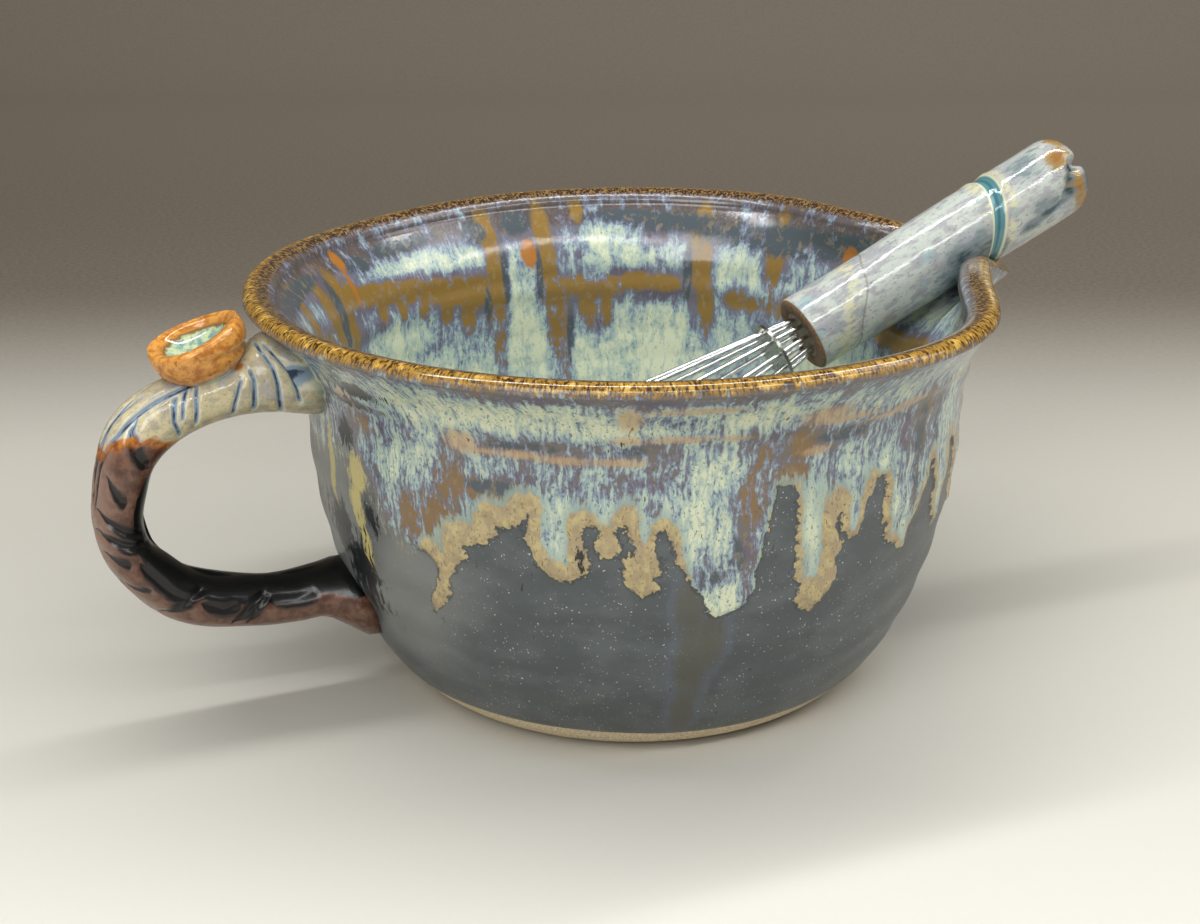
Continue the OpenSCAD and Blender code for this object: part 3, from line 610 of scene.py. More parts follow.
class BOWL_OT_throw_bowl(bpy.types.Operator):
    """Throw the bowl, pull its spout and lay its run glaze"""
    bl_idname = "batter_bowl.throw_bowl"
    bl_label = "Throw and glaze the bowl"

    def execute(self, context):
        sizes = context.scene.batter_bowl_sizes
        section = bowl_section()
        piece = throw("glazed_bowl", section, 480)
        turn, radius, z = points_of(piece)
        azimuth = np.degrees(turn)
        k = section_index(radius, z, section)
        rim = int(section[:, 1].argmax())
        inner = k > rim
        outside = (k >= len(FOOT_RINGS)) & ~inner
        steps = np.linalg.norm(np.diff(section, axis=0), axis=1)
        path = np.concatenate([[0], np.cumsum(steps)])
        slope = np.gradient(section, axis=0)
        slope /= np.linalg.norm(slope, axis=1)[:, None]
        edge = np.full(len(z), FAR_INSIDE)
        edge[outside] = distance_inside(azimuth[outside], z[outside], glaze_edge())
        soft = smooth((np.abs(azimuth) - 148.5) / 4)
        # Relief: throwing rings, ridges under the rim, and the run glaze with its rolled edge
        wave = np.sin(2 * math.pi * z / RING_MM + 1.4 * np.sin(z / 17) + 0.7 * np.sin(2 * turn)
                      + 0.5 * np.sin(3 * turn + 1))
        relief = sizes.ring_depth / MM * wave * smooth((z - 8) / 12) * smooth((92 - z) / 12)
        relief += sum(high * bell(z - at, half) for at, half, high in RIDGES)
        inside_glaze = smooth(edge / 1.2) * (1 - soft) * smooth((104 - z) / 10)
        relief += sizes.glaze_depth / MM * inside_glaze
        relief += sizes.drip_roll / MM * bell(edge - 1.7, 1.3) * (1 - soft)
        relief *= outside * (1 - bell(wrapped(azimuth), 9) * smooth((z - 96) / 8))
        bare_z = CLAY_Z + 0.35 * np.sin(5 * turn) + 0.3 * np.sin(2 * turn + 1)
        relief -= BARE_STEP * outside * smooth((bare_z + 0.3 - z) / 0.9)
        inner_wave = np.sin(2 * math.pi * z / INNER_RING_MM + np.sin(turn))
        relief += INNER_RING * inner_wave * smooth((z - 12) / 10) * (k > rim + 10) * smooth(
            (100 - z) / 10)
        r_new, z_new = draw_out(radius + slope[k, 1] * relief, azimuth, z - slope[k, 0] * relief)
        dip = sum(deep * bell(wrapped(azimuth - at), wide) for at, wide, deep in RIM_DIPS)
        shape(piece, round_z(r_new, turn, z_new - dip * smooth((z - 92) / 20)))

        def spots(name):
            """The patches of a colour, outside or inside."""
            return np.where(inner, *(patches(azimuth, z, side.get(name, ()))
                                     for side in (INSIDE, OUTSIDE)))

        lay = np.where(inner, np.interp(z, *INNER_LAY), np.interp(z, *OUTER_LAY))
        lay += sum(share * spots(name) for name, share in LAY_SHARES)
        clay = np.where(outside, np.clip(0.45 + (bare_z - z) / 6, 0, 1), 0)
        keep(piece, edge=edge, cream=np.interp(azimuth, *np.array(CREAM_DEPTH).T) - edge,
             soft=soft * outside, inner=inner.astype(float), lay=lay,
             dusk=np.where(inner, 0.55 * smooth((z - 102) / 6),
                           0.35 * bell(z - 95.8, 1.5) + 0.4 * smooth((z - 110) / 2)),
             # 1 on the crest, 2 where the lip ends inside, 0 where it ends outside
             lip=1 + (path[k] - path[rim]) / np.where(inner, 6.0, 7.5),
             clay=np.where(k <= len(FOOT_RINGS), 1.0, clay), flow=round_z(BELLY_R, turn, path[k]),
             **{name: spots(name) for name in LAYERS})
        piece.data.materials.append(bowl_glaze(context.scene.batter_bowl_colours))
        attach(piece, "bowl")
        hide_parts("bowl")
        return {"FINISHED"}


# The handle: at each station its shares of the reach and the rise, its slope in degrees, and its
# shares of the thickness and the width
STRAP = np.array([
    (0.13, 1.00, 26, 1.72, 1.22), (0.25, 1.00, 18, 1.40, 1.14), (0.38, 0.98, 14, 1.14, 1.05),
    (0.55, 0.95, 20, 1.05, 1.01), (0.73, 0.90, 34, 1.12, 1.00), (0.87, 0.815, 50, 1.12, 1.00),
    (0.955, 0.70, 67, 1.03, 0.99), (0.99, 0.57, 80, 0.95, 0.98), (1.00, 0.44, 93, 0.92, 0.97),
    (0.97, 0.31, 110, 0.94, 0.97), (0.88, 0.20, 131, 0.98, 0.97), (0.75, 0.105, 148, 1.01, 0.97),
    (0.57, 0.036, 162, 1.01, 0.95), (0.37, 0.005, 173, 0.99, 0.93), (0.17, 0.00, 181, 0.95, 0.92),
    (0.02, 0.00, 184, 0.98, 1.05), (-0.12, -0.05, 199, 1.55, 1.45)])
STRAP_REACH, STRAP_RISE, STRAP_LOW = 54.0, 63.8, 33.0
STRAP_T, STRAP_W, GIRTH_R = 15.0, 21.0, 8.8
# The strap is turned from a straight roll, then bent
ROLL_R, ROLL_L = 10, 100
LAST = len(STRAP) - 1
# How deep the strap's ends press into the wall's glaze, mm
PRESS = 1.2
# Length of the strap's middle line at each station, mm
STATION_MM = (0, 6.5, 13.6, 23, 33.2, 42.6, 51.3, 59.8, 68.2, 76.6, 85.2, 94.5, 105.2, 116.2, 127,
              135.2, 143.4)
# Carved grooves: depth and half width in mm, then (station, turn in degrees) along the cut
GROOVES = [
    (0.8, 0.7, [(0.80, 0), (0.75, -33), (0.65, -57), (0.73, -78), (0.93, -112), (1.0, -158)]),
    (0.8, 0.7, [(0.55, -14), (0.28, -46), (0.05, -70), (0.15, -94), (0.38, -120)]),
    (1.1, 0.8, [(1.53, -45), (1.53, -69), (1.70, -94), (1.90, -141)]),
    (0.8, 0.7, [(1.88, -57), (2.18, -82), (2.35, -102), (2.53, -138)]),
    (0.8, 0.7, [(3.03, -40), (3.18, -62), (3.33, -90), (3.58, -126)]),
    (0.5, 0.6, [(3.23, -38), (3.43, -57), (3.62, -80), (3.78, -99)]),
    (0.9, 0.8, [(3.55, -45), (3.70, -62), (3.95, -92), (4.12, -136)]),
    (0.9, 0.8, [(4.48, -44), (4.88, -54), (5.20, -78), (5.48, -105), (5.62, -129)]),
    (1.2, 1.0, [(2.0, -30), (2.95, -34), (3.75, -40), (4.40, -40), (5.08, -38), (5.68, -28),
                (6.20, -20), (6.90, -16), (7.6, -12)]),
    (0.9, 0.9, [(3.88, 12), (4.62, 3), (5.25, -3), (5.78, -8), (6.38, -2), (7.2, 4)]),
    (0.6, 0.8, [(6.20, -44), (6.55, -62), (6.85, -84), (6.90, -99)]),
    (0.9, 0.8, [(7.25, -16), (7.50, -48), (7.85, -92), (8.28, -148)]),
    (1.1, 0.9, [(7.88, -8), (8.08, -56), (8.33, -90), (8.65, -142)]),
    (0.7, 0.8, [(8.45, -28), (8.75, -63), (8.95, -87)]),
    (0.8, 0.9, [(9.40, -20), (9.75, -45), (10.0, -78)]),
    (0.9, 1.2, [(8.97, -104), (9.83, -104), (10.62, -98), (11.28, -99)]),
    (0.9, 0.9, [(10.68, -22), (10.88, -62), (11.05, -100), (11.45, -141)]),
    (0.8, 1.3, [(11.40, -102), (12.03, -98), (12.43, -112)]),
    (0.8, 0.8, [(12.28, -52), (12.68, -104), (13.15, -140)]),
    (0.8, 0.8, [(12.68, -50), (12.85, -102), (13.20, -134)]),
    (0.6, 1.4, [(13.10, -116), (13.90, -111), (14.62, -124)]),
]
# Where the oatmeal glaze breaks to brown: turns round the strap, mm along it
BROWN_FROM = ((0, 28, 39, 56, 64, 82, 88, 142, 160),
              (50, 49.2, 46, 45.5, 42.9, 42.8, 40.2, 37.6, 32))
# Where the black inner side begins: mm along the strap, turns round it
BLACK_FROM = ((40, 52, 60, 68, 76, 90, 105, 120, 143),
              (165, 130, 118, 112, 110, 112, 110, 112, 118))
# Cuts that start past this station lie in the brown part
BROWN_STATION = 3.8
# The far side of the strap carries the same cuts, a little further down
FAR_SHIFT = 0.22


def strap_station(u):
    """The strap's shares at stations u, on a smooth curve."""
    k = np.clip(np.floor(u).astype(int), 0, LAST - 1)
    t = (u - k)[:, None]
    a, b, c, d = (STRAP[np.clip(k + j, 0, LAST)] for j in (-1, 0, 1, 2))
    return 0.5 * (2 * b + (c - a) * t + (2 * a - 5 * b + 4 * c - d) * t * t
                  + (3 * b - a - 3 * c + d) * t ** 3)


def strap_points(u, turn, extra):
    """Places on the strap at stations u and turns in radians, this much outside its skin."""
    s = strap_station(u)
    a = np.radians(s[:, 2])
    thick, wide = s[:, 3] * STRAP_T / 2 + extra, s[:, 4] * STRAP_W / 2 + extra
    return np.stack([-(BELLY_R + s[:, 0] * STRAP_REACH) - np.sin(a) * thick * np.cos(turn),
                     wide * np.sin(turn),
                     STRAP_LOW + s[:, 1] * STRAP_RISE + np.cos(a) * thick * np.cos(turn)], 1)


def run_mm(u):
    """How far along the strap's middle line stations u lie."""
    return np.interp(u, range(LAST + 1), STATION_MM)


def carved(u, turn):
    """Depth of the carving, and a mask of how far a point lies in a groove."""
    along, girth = run_mm(u), GIRTH_R * turn
    depths, mask = np.zeros(len(u)), np.zeros(len(u))
    inner_side = smooth((np.abs(np.degrees(turn)) - 35) / 60)
    for deep, half, cut in GROOVES:
        for side, shift in ((1, 0), (-1, FAR_SHIFT)):
            line = np.array(cut, float)
            p = np.stack([run_mm(line[:, 0] + shift), GIRTH_R * np.radians(line[:, 1] * side)], 1)
            best, share = np.full(len(u), np.inf), np.zeros(len(u))
            for n, (a, b) in enumerate(zip(p, p[1:])):
                d = b - a
                t = np.clip(((along - a[0]) * d[0] + (girth - a[1]) * d[1]) / (d @ d), 0, 1)
                off = np.hypot(along - a[0] - d[0] * t, girth - a[1] - d[1] * t)
                share = np.where(off < best, (n + t) / (len(p) - 1), share)
                best = np.minimum(off, best)
            ends = smooth(share / 0.12) * smooth((1 - share) / 0.12) * 0.7 + 0.3
            wide = half
            if line[0, 0] > BROWN_STATION:
                # Glaze lies black in the cuts of the brown part, wider towards the inner side
                black = half * (1.0 + 2.4 * inner_side) * smooth(share / 0.35) ** 0.6 * smooth(
                    (1 - share) / 0.2) ** 0.6 + 0.05
                mask = np.maximum(mask, bell(best, black))
                wide = half * 1.5
            else:
                mask = np.maximum(mask, bell(best, half) * ends)
            depths = np.maximum(depths, deep * bell(best, wide) * ends)
    return depths, mask


def handle_glaze():
    """The same glazes on the carved strap: oatmeal and blue where thick, brown where thin, with a
    painted sheen on the brown's outer side.
    """
    m, read, flow = new_glaze("run_glaze_on_strap", "past", "groove", "back", "warm", "root",
                              "outer")
    mottle = pattern(m, flow, 3.0, 3.0, 5.0, 0.6)
    speck = pattern(m, flow, 0.6, 0.6, 3.0, 0.7)
    broad = pattern(m, flow, 8.0, 8.0, 3.0)
    cut = weighted(m, -0.3, (read["groove"], 1.0), (mottle, 0.6))
    oat = paint(m, "#A39B88", ("#C4B992", mottle, 0.38, 0.6),
                ("#8A90A8", weighted(m, 0.0, (broad, 0.7), (mottle, 0.3)), 0.52, 0.64, 0.7),
                ("#6E5A3A", speck, 0.41, 0.32, 0.8),
                ("#84998F", weighted(m, 0.0, (mottle, 1.2), (read["root"], 0.3)), 0.86, 1.1, 0.7),
                ("#CFD0BC", cut, 0.12, 0.3, 0.5), ("#7189A4", cut, 0.42, 0.66, 0.85),
                ("#26354A", cut, 0.82, 1.0, 0.95), ("#A8662A", read["warm"], 0.3, 0.7))
    # A painted sheen lightens the brown on the strap's outer side
    painted_sheen = weighted(m, -0.5, (read["outer"], 0.7), (broad, 1.0))
    black = weighted(m, -0.4, (read["groove"], 1.0), (mottle, 0.9))
    brown = paint(m, "#4C3024", ("#70503F", mottle, 0.36, 0.64),
                  ("#8F7568", painted_sheen, 0.15, 0.75, 0.7), ("#0A0A0B", black, 0.38, 0.85, 0.97))
    fire = paint(m, "#7E421A", ("#AE6E2A", mottle, 0.4, 0.6))
    place = weighted(m, -5.5, (read["past"], 1.0), (mottle, 5.0), (broad, 6.0))
    back = weighted(m, -0.25, (read["back"], 1.0), (mottle, 0.5))
    colour = paint(m, oat, (fire, place, -2.2, -0.4), (brown, place, 0.6, 3.0),
                   ("#08090B", back, 0.44, 0.58))
    rough = add(m, "MapRange", {"Value": place, "From Min": 0.0, "From Max": 3.0, "To Min": 0.12,
                                "To Max": 0.27})
    normal = add(m, "Bump", {"Strength": 0.35, "Distance": 0.00025, "Height": mottle})
    return surface(m, colour, rough, Normal=normal, IOR=GLAZE_IOR)


class BOWL_OT_pull_handle(bpy.types.Operator):
    """Pull the strap handle, carve its grooves and glaze it"""
    bl_idname = "batter_bowl.pull_handle"
    bl_label = "Pull and carve the handle"

    def execute(self, context):
        rings = [(ROLL_R, l) for l in np.linspace(0, ROLL_L, 345)]
        piece = throw("carved_handle", [(0, 0), *rings, (0, ROLL_L)], 150)
        turn, radius, l = points_of(piece)
        u = np.clip(l / ROLL_L, 0, 1) * LAST
        poles = radius < 1
        # Degrees round the strap from its outer side
        away = np.abs(np.degrees(turn))
        depths, groove = carved(u, turn)
        along = run_mm(u)
        # Slight lobes run round the strap past its root, on a skin 0.4 mm inside the solid's
        lobes = 0.35 * np.sin(along / 4.6 + turn * 1.4) * smooth((along - 45) / 12) - 0.4
        extra = lobes * smooth(along / 14) * smooth((138 - along) / 12) - depths * (
            context.scene.batter_bowl_sizes.groove_depth / (GROOVE_DEPTH * MM))
        new = strap_points(u, turn, np.where(poles, -STRAP_T, extra))
        # The ends are pressed on the wall, a little way into its glaze
        wall = -np.sqrt(np.maximum((outer_r(new[:, 2]) - PRESS) ** 2 - new[:, 1] ** 2, 0))
        first, last = u < 0.01, u > LAST - 0.01
        new[:, 0] = np.where(first | last, wall, new[:, 0])
        for end in (first, last):
            new[poles & end] = new[~poles & end].mean(0)
            new[poles & end, 0] = PRESS - float(outer_r(new[poles & end, 2][0]))
        shape(piece, new)
        bpy.ops.object.mode_set(mode="EDIT")
        face_outwards()
        past = along - np.interp(away, *BROWN_FROM)
        back = (0.5 + (away - np.interp(along, *BLACK_FROM)) / 30) * smooth((past + 2) / 8)
        warm = 0.8 * bell(u - 1.85, 0.25) * bell(wrapped(np.degrees(turn) + 38), 9)
        # The strap's outer side is marked for the painted sheen on its brown
        keep(piece, past=past, groove=groove, warm=warm, root=bell(along, 9),
             outer=bell(away, 75), back=back, flow=new)
        piece.data.materials.append(handle_glaze())
        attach(piece, "bowl")
        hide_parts("handle")
        return {"FINISHED"}


# The thumb rest, mm
THUMB_L, THUMB_W, THUMB_H, THUMB_HOLLOW, THUMB_EDGE = 27.0, 25.0, 13.0, 5.0, 4.0
THUMB_SLOPE = math.radians(20.0)
THUMB_X = RIM_R + 1.75 + THUMB_L / 2 * math.cos(THUMB_SLOPE)
THUMB_Z = STRAP_LOW + STRAP_RISE * 0.95 + STRAP_T / 2 + THUMB_H - 4.1
# Its section: shares of half its length, and of its height or the depth of its hollow
THUMB_UNDER = ((0.42, 1.0), (0.66, 0.81), (0.84, 0.62), (0.95, 0.42), (1.0, 0.23), (0.98, 0.05))
THUMB_INSIDE = ((1.0, 0.02), (0.9, 0.32), (0.68, 0.74), (0.36, 0.97), (0, 1.0))


def rounded(points, rounds=3):
    """Cuts the corners of an open line again and again, keeping its ends."""
    p = np.array(points, float)
    for _ in range(rounds):
        cut = np.stack([p[:-1] * 0.75 + p[1:] * 0.25, p[:-1] * 0.25 + p[1:] * 0.75], 1)
        p = np.concatenate([p[:1], cut.reshape(-1, 2), p[-1:]])
    return p


def thumb_glaze():
    """Amber where the glaze is thin on the roll, pale teal where it pools."""
    m, read, flow = new_glaze("amber_glaze_on_thumb_rest", "pool", "under")
    mottle = pattern(m, flow, 2.2, 2.2, 5.0, 0.6)
    speck = pattern(m, flow, 0.6, 0.9, 3.0, 0.7)
    pool = paint(m, "#6E8F8A", ("#B5C19A", mottle, 0.4, 0.6), ("#4A5B50", speck, 0.42, 0.34, 0.7))
    low = paint(m, "#9A7250", ("#B3977C", mottle, 0.4, 0.6))
    off = weighted(m, -0.3, (mottle, 0.6), (read["pool"], 1.0))
    colour = paint(m, "#A8692A", ("#CF9448", mottle, 0.36, 0.6),
                   ("#39200F", speck, 0.40, 0.31, 0.9), ("#4A4230", off, 0.16, 0.34, 0.75),
                   (pool, off, 0.34, 0.56), (low, read["under"], 0.35, 0.75),
                   ("#A2BBB6", read["under"], 0.86, 0.96))
    normal = add(m, "Bump", {"Strength": 0.08, "Distance": 0.00025, "Height": mottle})
    return surface(m, colour, 0.09, Normal=normal, IOR=GLAZE_IOR)


class BOWL_OT_press_thumb_rest(bpy.types.Operator):
    """Roll the thumb rest's cup and press it on the handle"""
    bl_idname = "batter_bowl.press_thumb_rest"
    bl_label = "Press the thumb rest on"

    def execute(self, context):
        half = THUMB_L / 2
        open_r = half - THUMB_EDGE
        section = rounded([(0, -THUMB_H)] + [(r * half, -h * THUMB_H) for r, h in THUMB_UNDER]
                          + [(half - 1.0, 0.15), (half - THUMB_EDGE / 2, 0.35)]
                          + [(r * open_r, -h * THUMB_HOLLOW) for r, h in THUMB_INSIDE])
        section[0, 0] = section[-1, 0] = 0
        piece = throw("rolled_thumb_rest", section, 112)
        turn, radius, height = points_of(piece)
        k = section_index(radius, height, section)
        crest = int(section[:, 1].argmax())
        # Pressed by a thumb: fuller away from the bowl, a crease under the roll on the bowl's side
        wide = 1 + 0.035 * np.cos(turn - 2.6) - 0.03 * np.cos(2 * turn + 0.4)
        crease = 0.9 * bell(height + 4.4 + 2.2 * np.cos(turn), 1.0) * (k < crest) * smooth(
            (np.cos(turn) + 0.35) / 0.8)
        r = (radius - crease) * np.where(radius > 3, wide, 1)
        z = height + 0.5 * np.cos(turn * 2 + 1.0) * smooth((height + 6) / 6)
        # The hollow is a little longer and lies to one side
        hollow = smooth((k - crest + 6) / 8)
        x = r * np.cos(turn) * (1 + 0.12 * hollow)
        y = r * np.sin(turn) * THUMB_W / THUMB_L * (1 + 0.06 * hollow) + 1.5 * hollow
        s, c = math.sin(THUMB_SLOPE), math.cos(THUMB_SLOPE)
        new = np.stack([x * c - z * s - THUMB_X, y, x * s + z * c + THUMB_Z], 1)
        shape(piece, new)
        keep(piece, pool=smooth((open_r + 0.6 - radius) / 5.0) * (k > crest),
             under=smooth((-height - 6.2) / 5) * (k < crest), flow=new)
        piece.data.materials.append(thumb_glaze())
        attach(piece, "bowl")
        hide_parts("thumb_rest")
        return {"FINISHED"}


# The whisk, mm
GRIP_L, GRIP_R = 101.0, 12.4
GRIP_END = (54.35, 0.0, 89.49)
LEAN = math.radians(25.4)
BORE_R, BORE_L = 7.5, 16.55
# Radii of the rounded edges by the wires and at the tip
LOW_ROUND, TIP_ROUND = 1.5, 7.6
# Patches on the whisk handle's tip: turn in degrees, mm along it, half sizes
TIP_OCHRE = [
    (-141, 93, 15, 3.4), (-92, 94.6, 22, 3.4), (-50, 95.5, 24, 3), (-5, 95.5, 24, 2.6),
    (60, 94, 25, 3), (130, 95.5, 22, 2.6), (-170, 97, 20, 2)]
TIP_DARK = [
    (-77, 84, 5, 6), (-74, 76, 7, 3), (-86, 91, 8, 1.7), (-104, 93, 8, 1.5), (-118, 95, 6, 2),
    (-84, 99.4, 17, 2.2), (80, 88, 16, 5)]
TIP_GREY = [
    (-158, 82, 22, 8), (-92, 82, 14, 5), (150, 86, 14, 7), (20, 84, 20, 7)]
# The fold down the near side of the tip: mm along it, turns in degrees
NEAR_FOLD = ((74, 88, 92, 95, 101), (-73, -78, -95, -118, -122))


def grip_glaze():
    """Pale blue grey and cream run glaze with slate speckle over the whisk's handle."""
    m, read, flow = new_glaze("pale_glaze_on_whisk_handle", "groove", "bare", "tip", "seam", "deep",
                              "buff")
    mottle = pattern(m, flow, 3.4, 6.0, 5.0, 0.6)
    thread = pattern(m, flow, 1.2, 5.0, 4.0, 0.6)
    speck = pattern(m, flow, 0.7, 0.9, 2.0, 0.6)
    broad = pattern(m, flow, 9.0, 14.0, 3.0)
    rag = weighted(m, -1.4, (mottle, 1.3), (thread, 0.8), (broad, 0.7))
    off = weighted(m, read["tip"], (rag, 1.1))
    deep = weighted(m, read["deep"], (rag, 1.0))
    clay = paint(m, "#5E4632", ("#8A6B4C", pattern(m, flow, 0.6, 0.6, 4.0, 0.7), 0.35, 0.65))
    colour = paint(m, "#9B9C9E", ("#B4BAB2", rag, -0.12, 0.1), ("#93B2B2", broad, 0.42, 0.34, 0.7),
                   ("#C6C29E", weighted(m, read["buff"], (rag, 0.8)), 0.3, 0.6, 0.9),
                   ("#80848E", rag, -0.2, -0.4, 0.7), ("#4C5660", speck, 0.38, 0.30, 0.6),
                   ("#93763F", off, 0.3, 0.7, 0.95), ("#8F5E27", off, 0.75, 1.05, 0.9),
                   # The deep mask: painted shade on the lower side of the handle's middle, partly
                   # slate glaze, and the tip's dark and grey glaze patches
                   ("#68777C", deep, 0.2, 0.55, 0.85), ("#2C4146", deep, 0.55, 0.95, 0.9),
                   ("#7A7462", read["seam"], 0.35, 0.8, 0.6),
                   ("#CBC8A6", read["groove"], 0.1, 0.35, 0.9),
                   ("#4F8088", read["groove"], 0.36, 0.56),
                   ("#24383C", read["groove"], 0.88, 0.98, 0.5), (clay, read["bare"], 0.45, 0.55))
    rough = add(m, "MapRange", {"Value": read["bare"], "To Min": 0.11, "To Max": 0.75})
    normal = add(m, "Bump", {"Strength": 0.5, "Distance": 0.0003,
                             "Height": weighted(m, 0.0, (mottle, 0.6), (broad, 2.0))})
    return surface(m, colour, rough, Normal=normal, IOR=GLAZE_IOR)


class BOWL_OT_throw_whisk_handle(bpy.types.Operator):
    """Throw the whisk's handle with its groove and pinched tip"""
    bl_idname = "batter_bowl.throw_whisk_handle"
    bl_label = "Throw the whisk's handle"

    def execute(self, context):
        a = np.radians(np.linspace(0, 90, 9))
        low = (GRIP_R, 0) - LOW_ROUND * np.stack([1 - np.sin(a), np.cos(a) - 1], 1)
        side = [(GRIP_R, l) for l in np.arange(2.4, GRIP_L - 8, 0.75)]
        top = (GRIP_R, GRIP_L) - TIP_ROUND * np.stack([1 - np.cos(a), 1 - np.sin(a)], 1)
        cap = [(r, GRIP_L) for r in (4.0, 3.2, 2.4, 1.6, 0.8, 0)]
        bore = [(0, BORE_L), (BORE_R, BORE_L), (BORE_R, 0)]
        section = np.concatenate([bore, low, side, top, cap])
        piece = throw("glazed_whisk_handle", section, 144)
        turn, radius, l = points_of(piece)
        shell = section_index(radius, l, section) >= len(bore)
        angle = np.degrees(turn)
        groove_l = 65.4 - 6.5 * np.cos(turn + 0.09)
        seam_l = 19.5 - 7.6 * np.cos(turn + 0.49)
        groove = bell(l - groove_l, 2.2)
        seam = bell(l - seam_l - 0.5 * np.sin(5 * turn), 0.5)
        swell = -0.7 + 0.55 * smooth(l / 85) + 0.1 * np.sin(3 * turn + l / 9)
        # The tip is pinched in two: a fold runs down its near side, another down the far side
        near = bell(wrapped(angle - np.interp(l, *NEAR_FOLD)), 11) * smooth((l - 82) / 9)
        far = bell(wrapped(angle - 70), 22) * smooth((l - 86) / 12)
        fold = np.maximum(near, 0.8 * far)
        pinch = 2.6 * bell(radius, 5.0) * (l > GRIP_L - 3) + 2.0 * fold * (l > GRIP_L - 6)
        groove_lips = bell(l - groove_l - 3.2, 1.2) + bell(l - groove_l + 3.2, 1.2)
        r = radius + shell * (radius > 4) * (
            swell - 1.7 * fold - 0.8 * groove + 0.35 * groove_lips - 0.25 * seam)
        x, y, l_new = round_z(r, turn, l - shell * pinch).T
        s, c = math.sin(LEAN), math.cos(LEAN)
        shape(piece, np.stack([GRIP_END[0] + l_new * c + x * s, y,
                               GRIP_END[2] + l_new * s - x * c], 1))
        # Painted shade, partly slate glaze: the lower side of the handle's middle is darkened
        shade = 0.75 * smooth(0.35 + 0.75 * np.cos(turn + 0.6)) * smooth((l - 30) / 26) * smooth(
            (70 - l) / 6)
        keep(piece, groove=groove * shell, seam=seam,
             bare=np.where(shell & (l > 0.9), 0.0, 1.0),
             buff=0.5 * bell(l - seam_l + 5, 5) + 0.5 * bell(np.abs(l - groove_l) - 4.4, 3.0),
             deep=np.maximum.reduce([shade, 0.9 * patches(angle, l, TIP_DARK),
                                     0.45 * patches(angle, l, TIP_GREY)]),
             tip=patches(angle, l, TIP_OCHRE), flow=round_z(GRIP_R, turn, l))
        piece.data.materials.append(grip_glaze())
        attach(piece, "whisk")
        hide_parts("whisk_handle")
        return {"FINISHED"}


def steel(name, dark, light, smoothest, roughest, grain_mm):
    """Stainless steel whose gloss wanders a little with the grain of its finish."""
    m = new_material(name)
    place = add(m, "TexCoord", out=3)
    grain = add(m, "TexNoise", {"Vector": place, "Scale": 1 / (grain_mm * MM), "Detail": 2.0})
    rough = add(m, "MapRange", {"Value": grain, "To Min": smoothest, "To Max": roughest})
    return surface(m, paint(m, dark, (light, grain, 0.3, 0.7)), rough, Metallic=1.0)


def set_epoxy():
    """Hardened epoxy, a dull tan."""
    m = new_material("set_epoxy")
    cloud = add(m, "TexNoise", {"Vector": add(m, "TexCoord", out=3), "Scale": 300.0, "Detail": 3.0})
    return surface(m, paint(m, "#6E624C", ("#8A7C60", cloud, 0.3, 0.7)), 0.5, IOR=1.55)


class BOWL_OT_finish_metal(bpy.types.Operator):
    """Give the whisk's wires, disc and plug their metal and epoxy"""
    bl_idname = "batter_bowl.finish_metal"
    bl_label = "Finish the whisk's metal"

    def execute(self, context):
        # Drawn wire is polished bright; the rolled disc is duller, and olive from what it mirrors
        finishes = {"wire": steel("polished_stainless_wire", "#C9CBCC", "#E6E7E7", 0.1, 0.2, 1.1),
                    "disc": steel("rolled_stainless_disc", "#84857A", "#ADAEA4", 0.2, 0.38, 0.7),
                    "epoxy": set_epoxy()}
        for name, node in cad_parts.items():
            for key, material in finishes.items():
                if key in name:
                    node.data.materials.clear()
                    node.data.materials.append(material)
        return {"FINISHED"}


# The stage, in metres
CAMERA_AT = (-0.1931, -0.4530, 0.2429)
CAMERA_LOOK = (0.3506, 0.8677, -0.3526)
CAMERA_ROLL = -0.0033
SHEET_W, SHEET_L, SHEET_H, SHEET_BACK = 9, 5, 3, 1.5
BEND_R, BEND_STEPS = 0.5, 12
# Each light: place, width and depth, power in W
LIGHTS = {"left_softbox": ((-1.0, -0.85, 1.0), (0.7, 0.8), 10.0),
          "right_softbox": ((0.95, -0.3, 1.0), (0.4, 0.8), 3.5),
          "front_strip": ((0.3, -0.75, 0.9), (1.6, 0.06), 5.5),
          "top_strip": ((0.04, 0.12, 1.15), (2.0, 0.09), 15.0)}
# The focal length in pixels of a frame this wide
FOCAL_PX, FRAME_PX, SENSOR_MM = 1804.0, 1200.0, 36.0
# The camera's direction laid level, of length 1
LEVEL_LOOK = Vector((CAMERA_LOOK[0], CAMERA_LOOK[1], 0)).normalized()


def sweep_paper():
    """Matt paper with its light and shade painted in: pale grey near the camera, darkening to brown
    grey behind the bowl and a little lighter again further back.
    """
    m = new_material("sweep_paper")
    place = add(m, "TexCoord", out=3)
    away = add(m, "VectorMath", {0: place, 1: LEVEL_LOOK}, operation="DOT_PRODUCT", out=1)
    grain = add(m, "TexNoise", {"Vector": place, "Scale": 400.0, "Detail": 4.0})
    colour = paint(m, "#D7D5CE", ("#ADAAA1", away, -0.35, 0.15), ("#61594F", away, 0.12, 0.42),
                   ("#7C7367", away, 0.5, 1.1), ("#B9B6AE", grain, 0.3, 0.7, 0.06))
    return surface(m, colour, 0.9, Specular_IOR_Level=0.1)


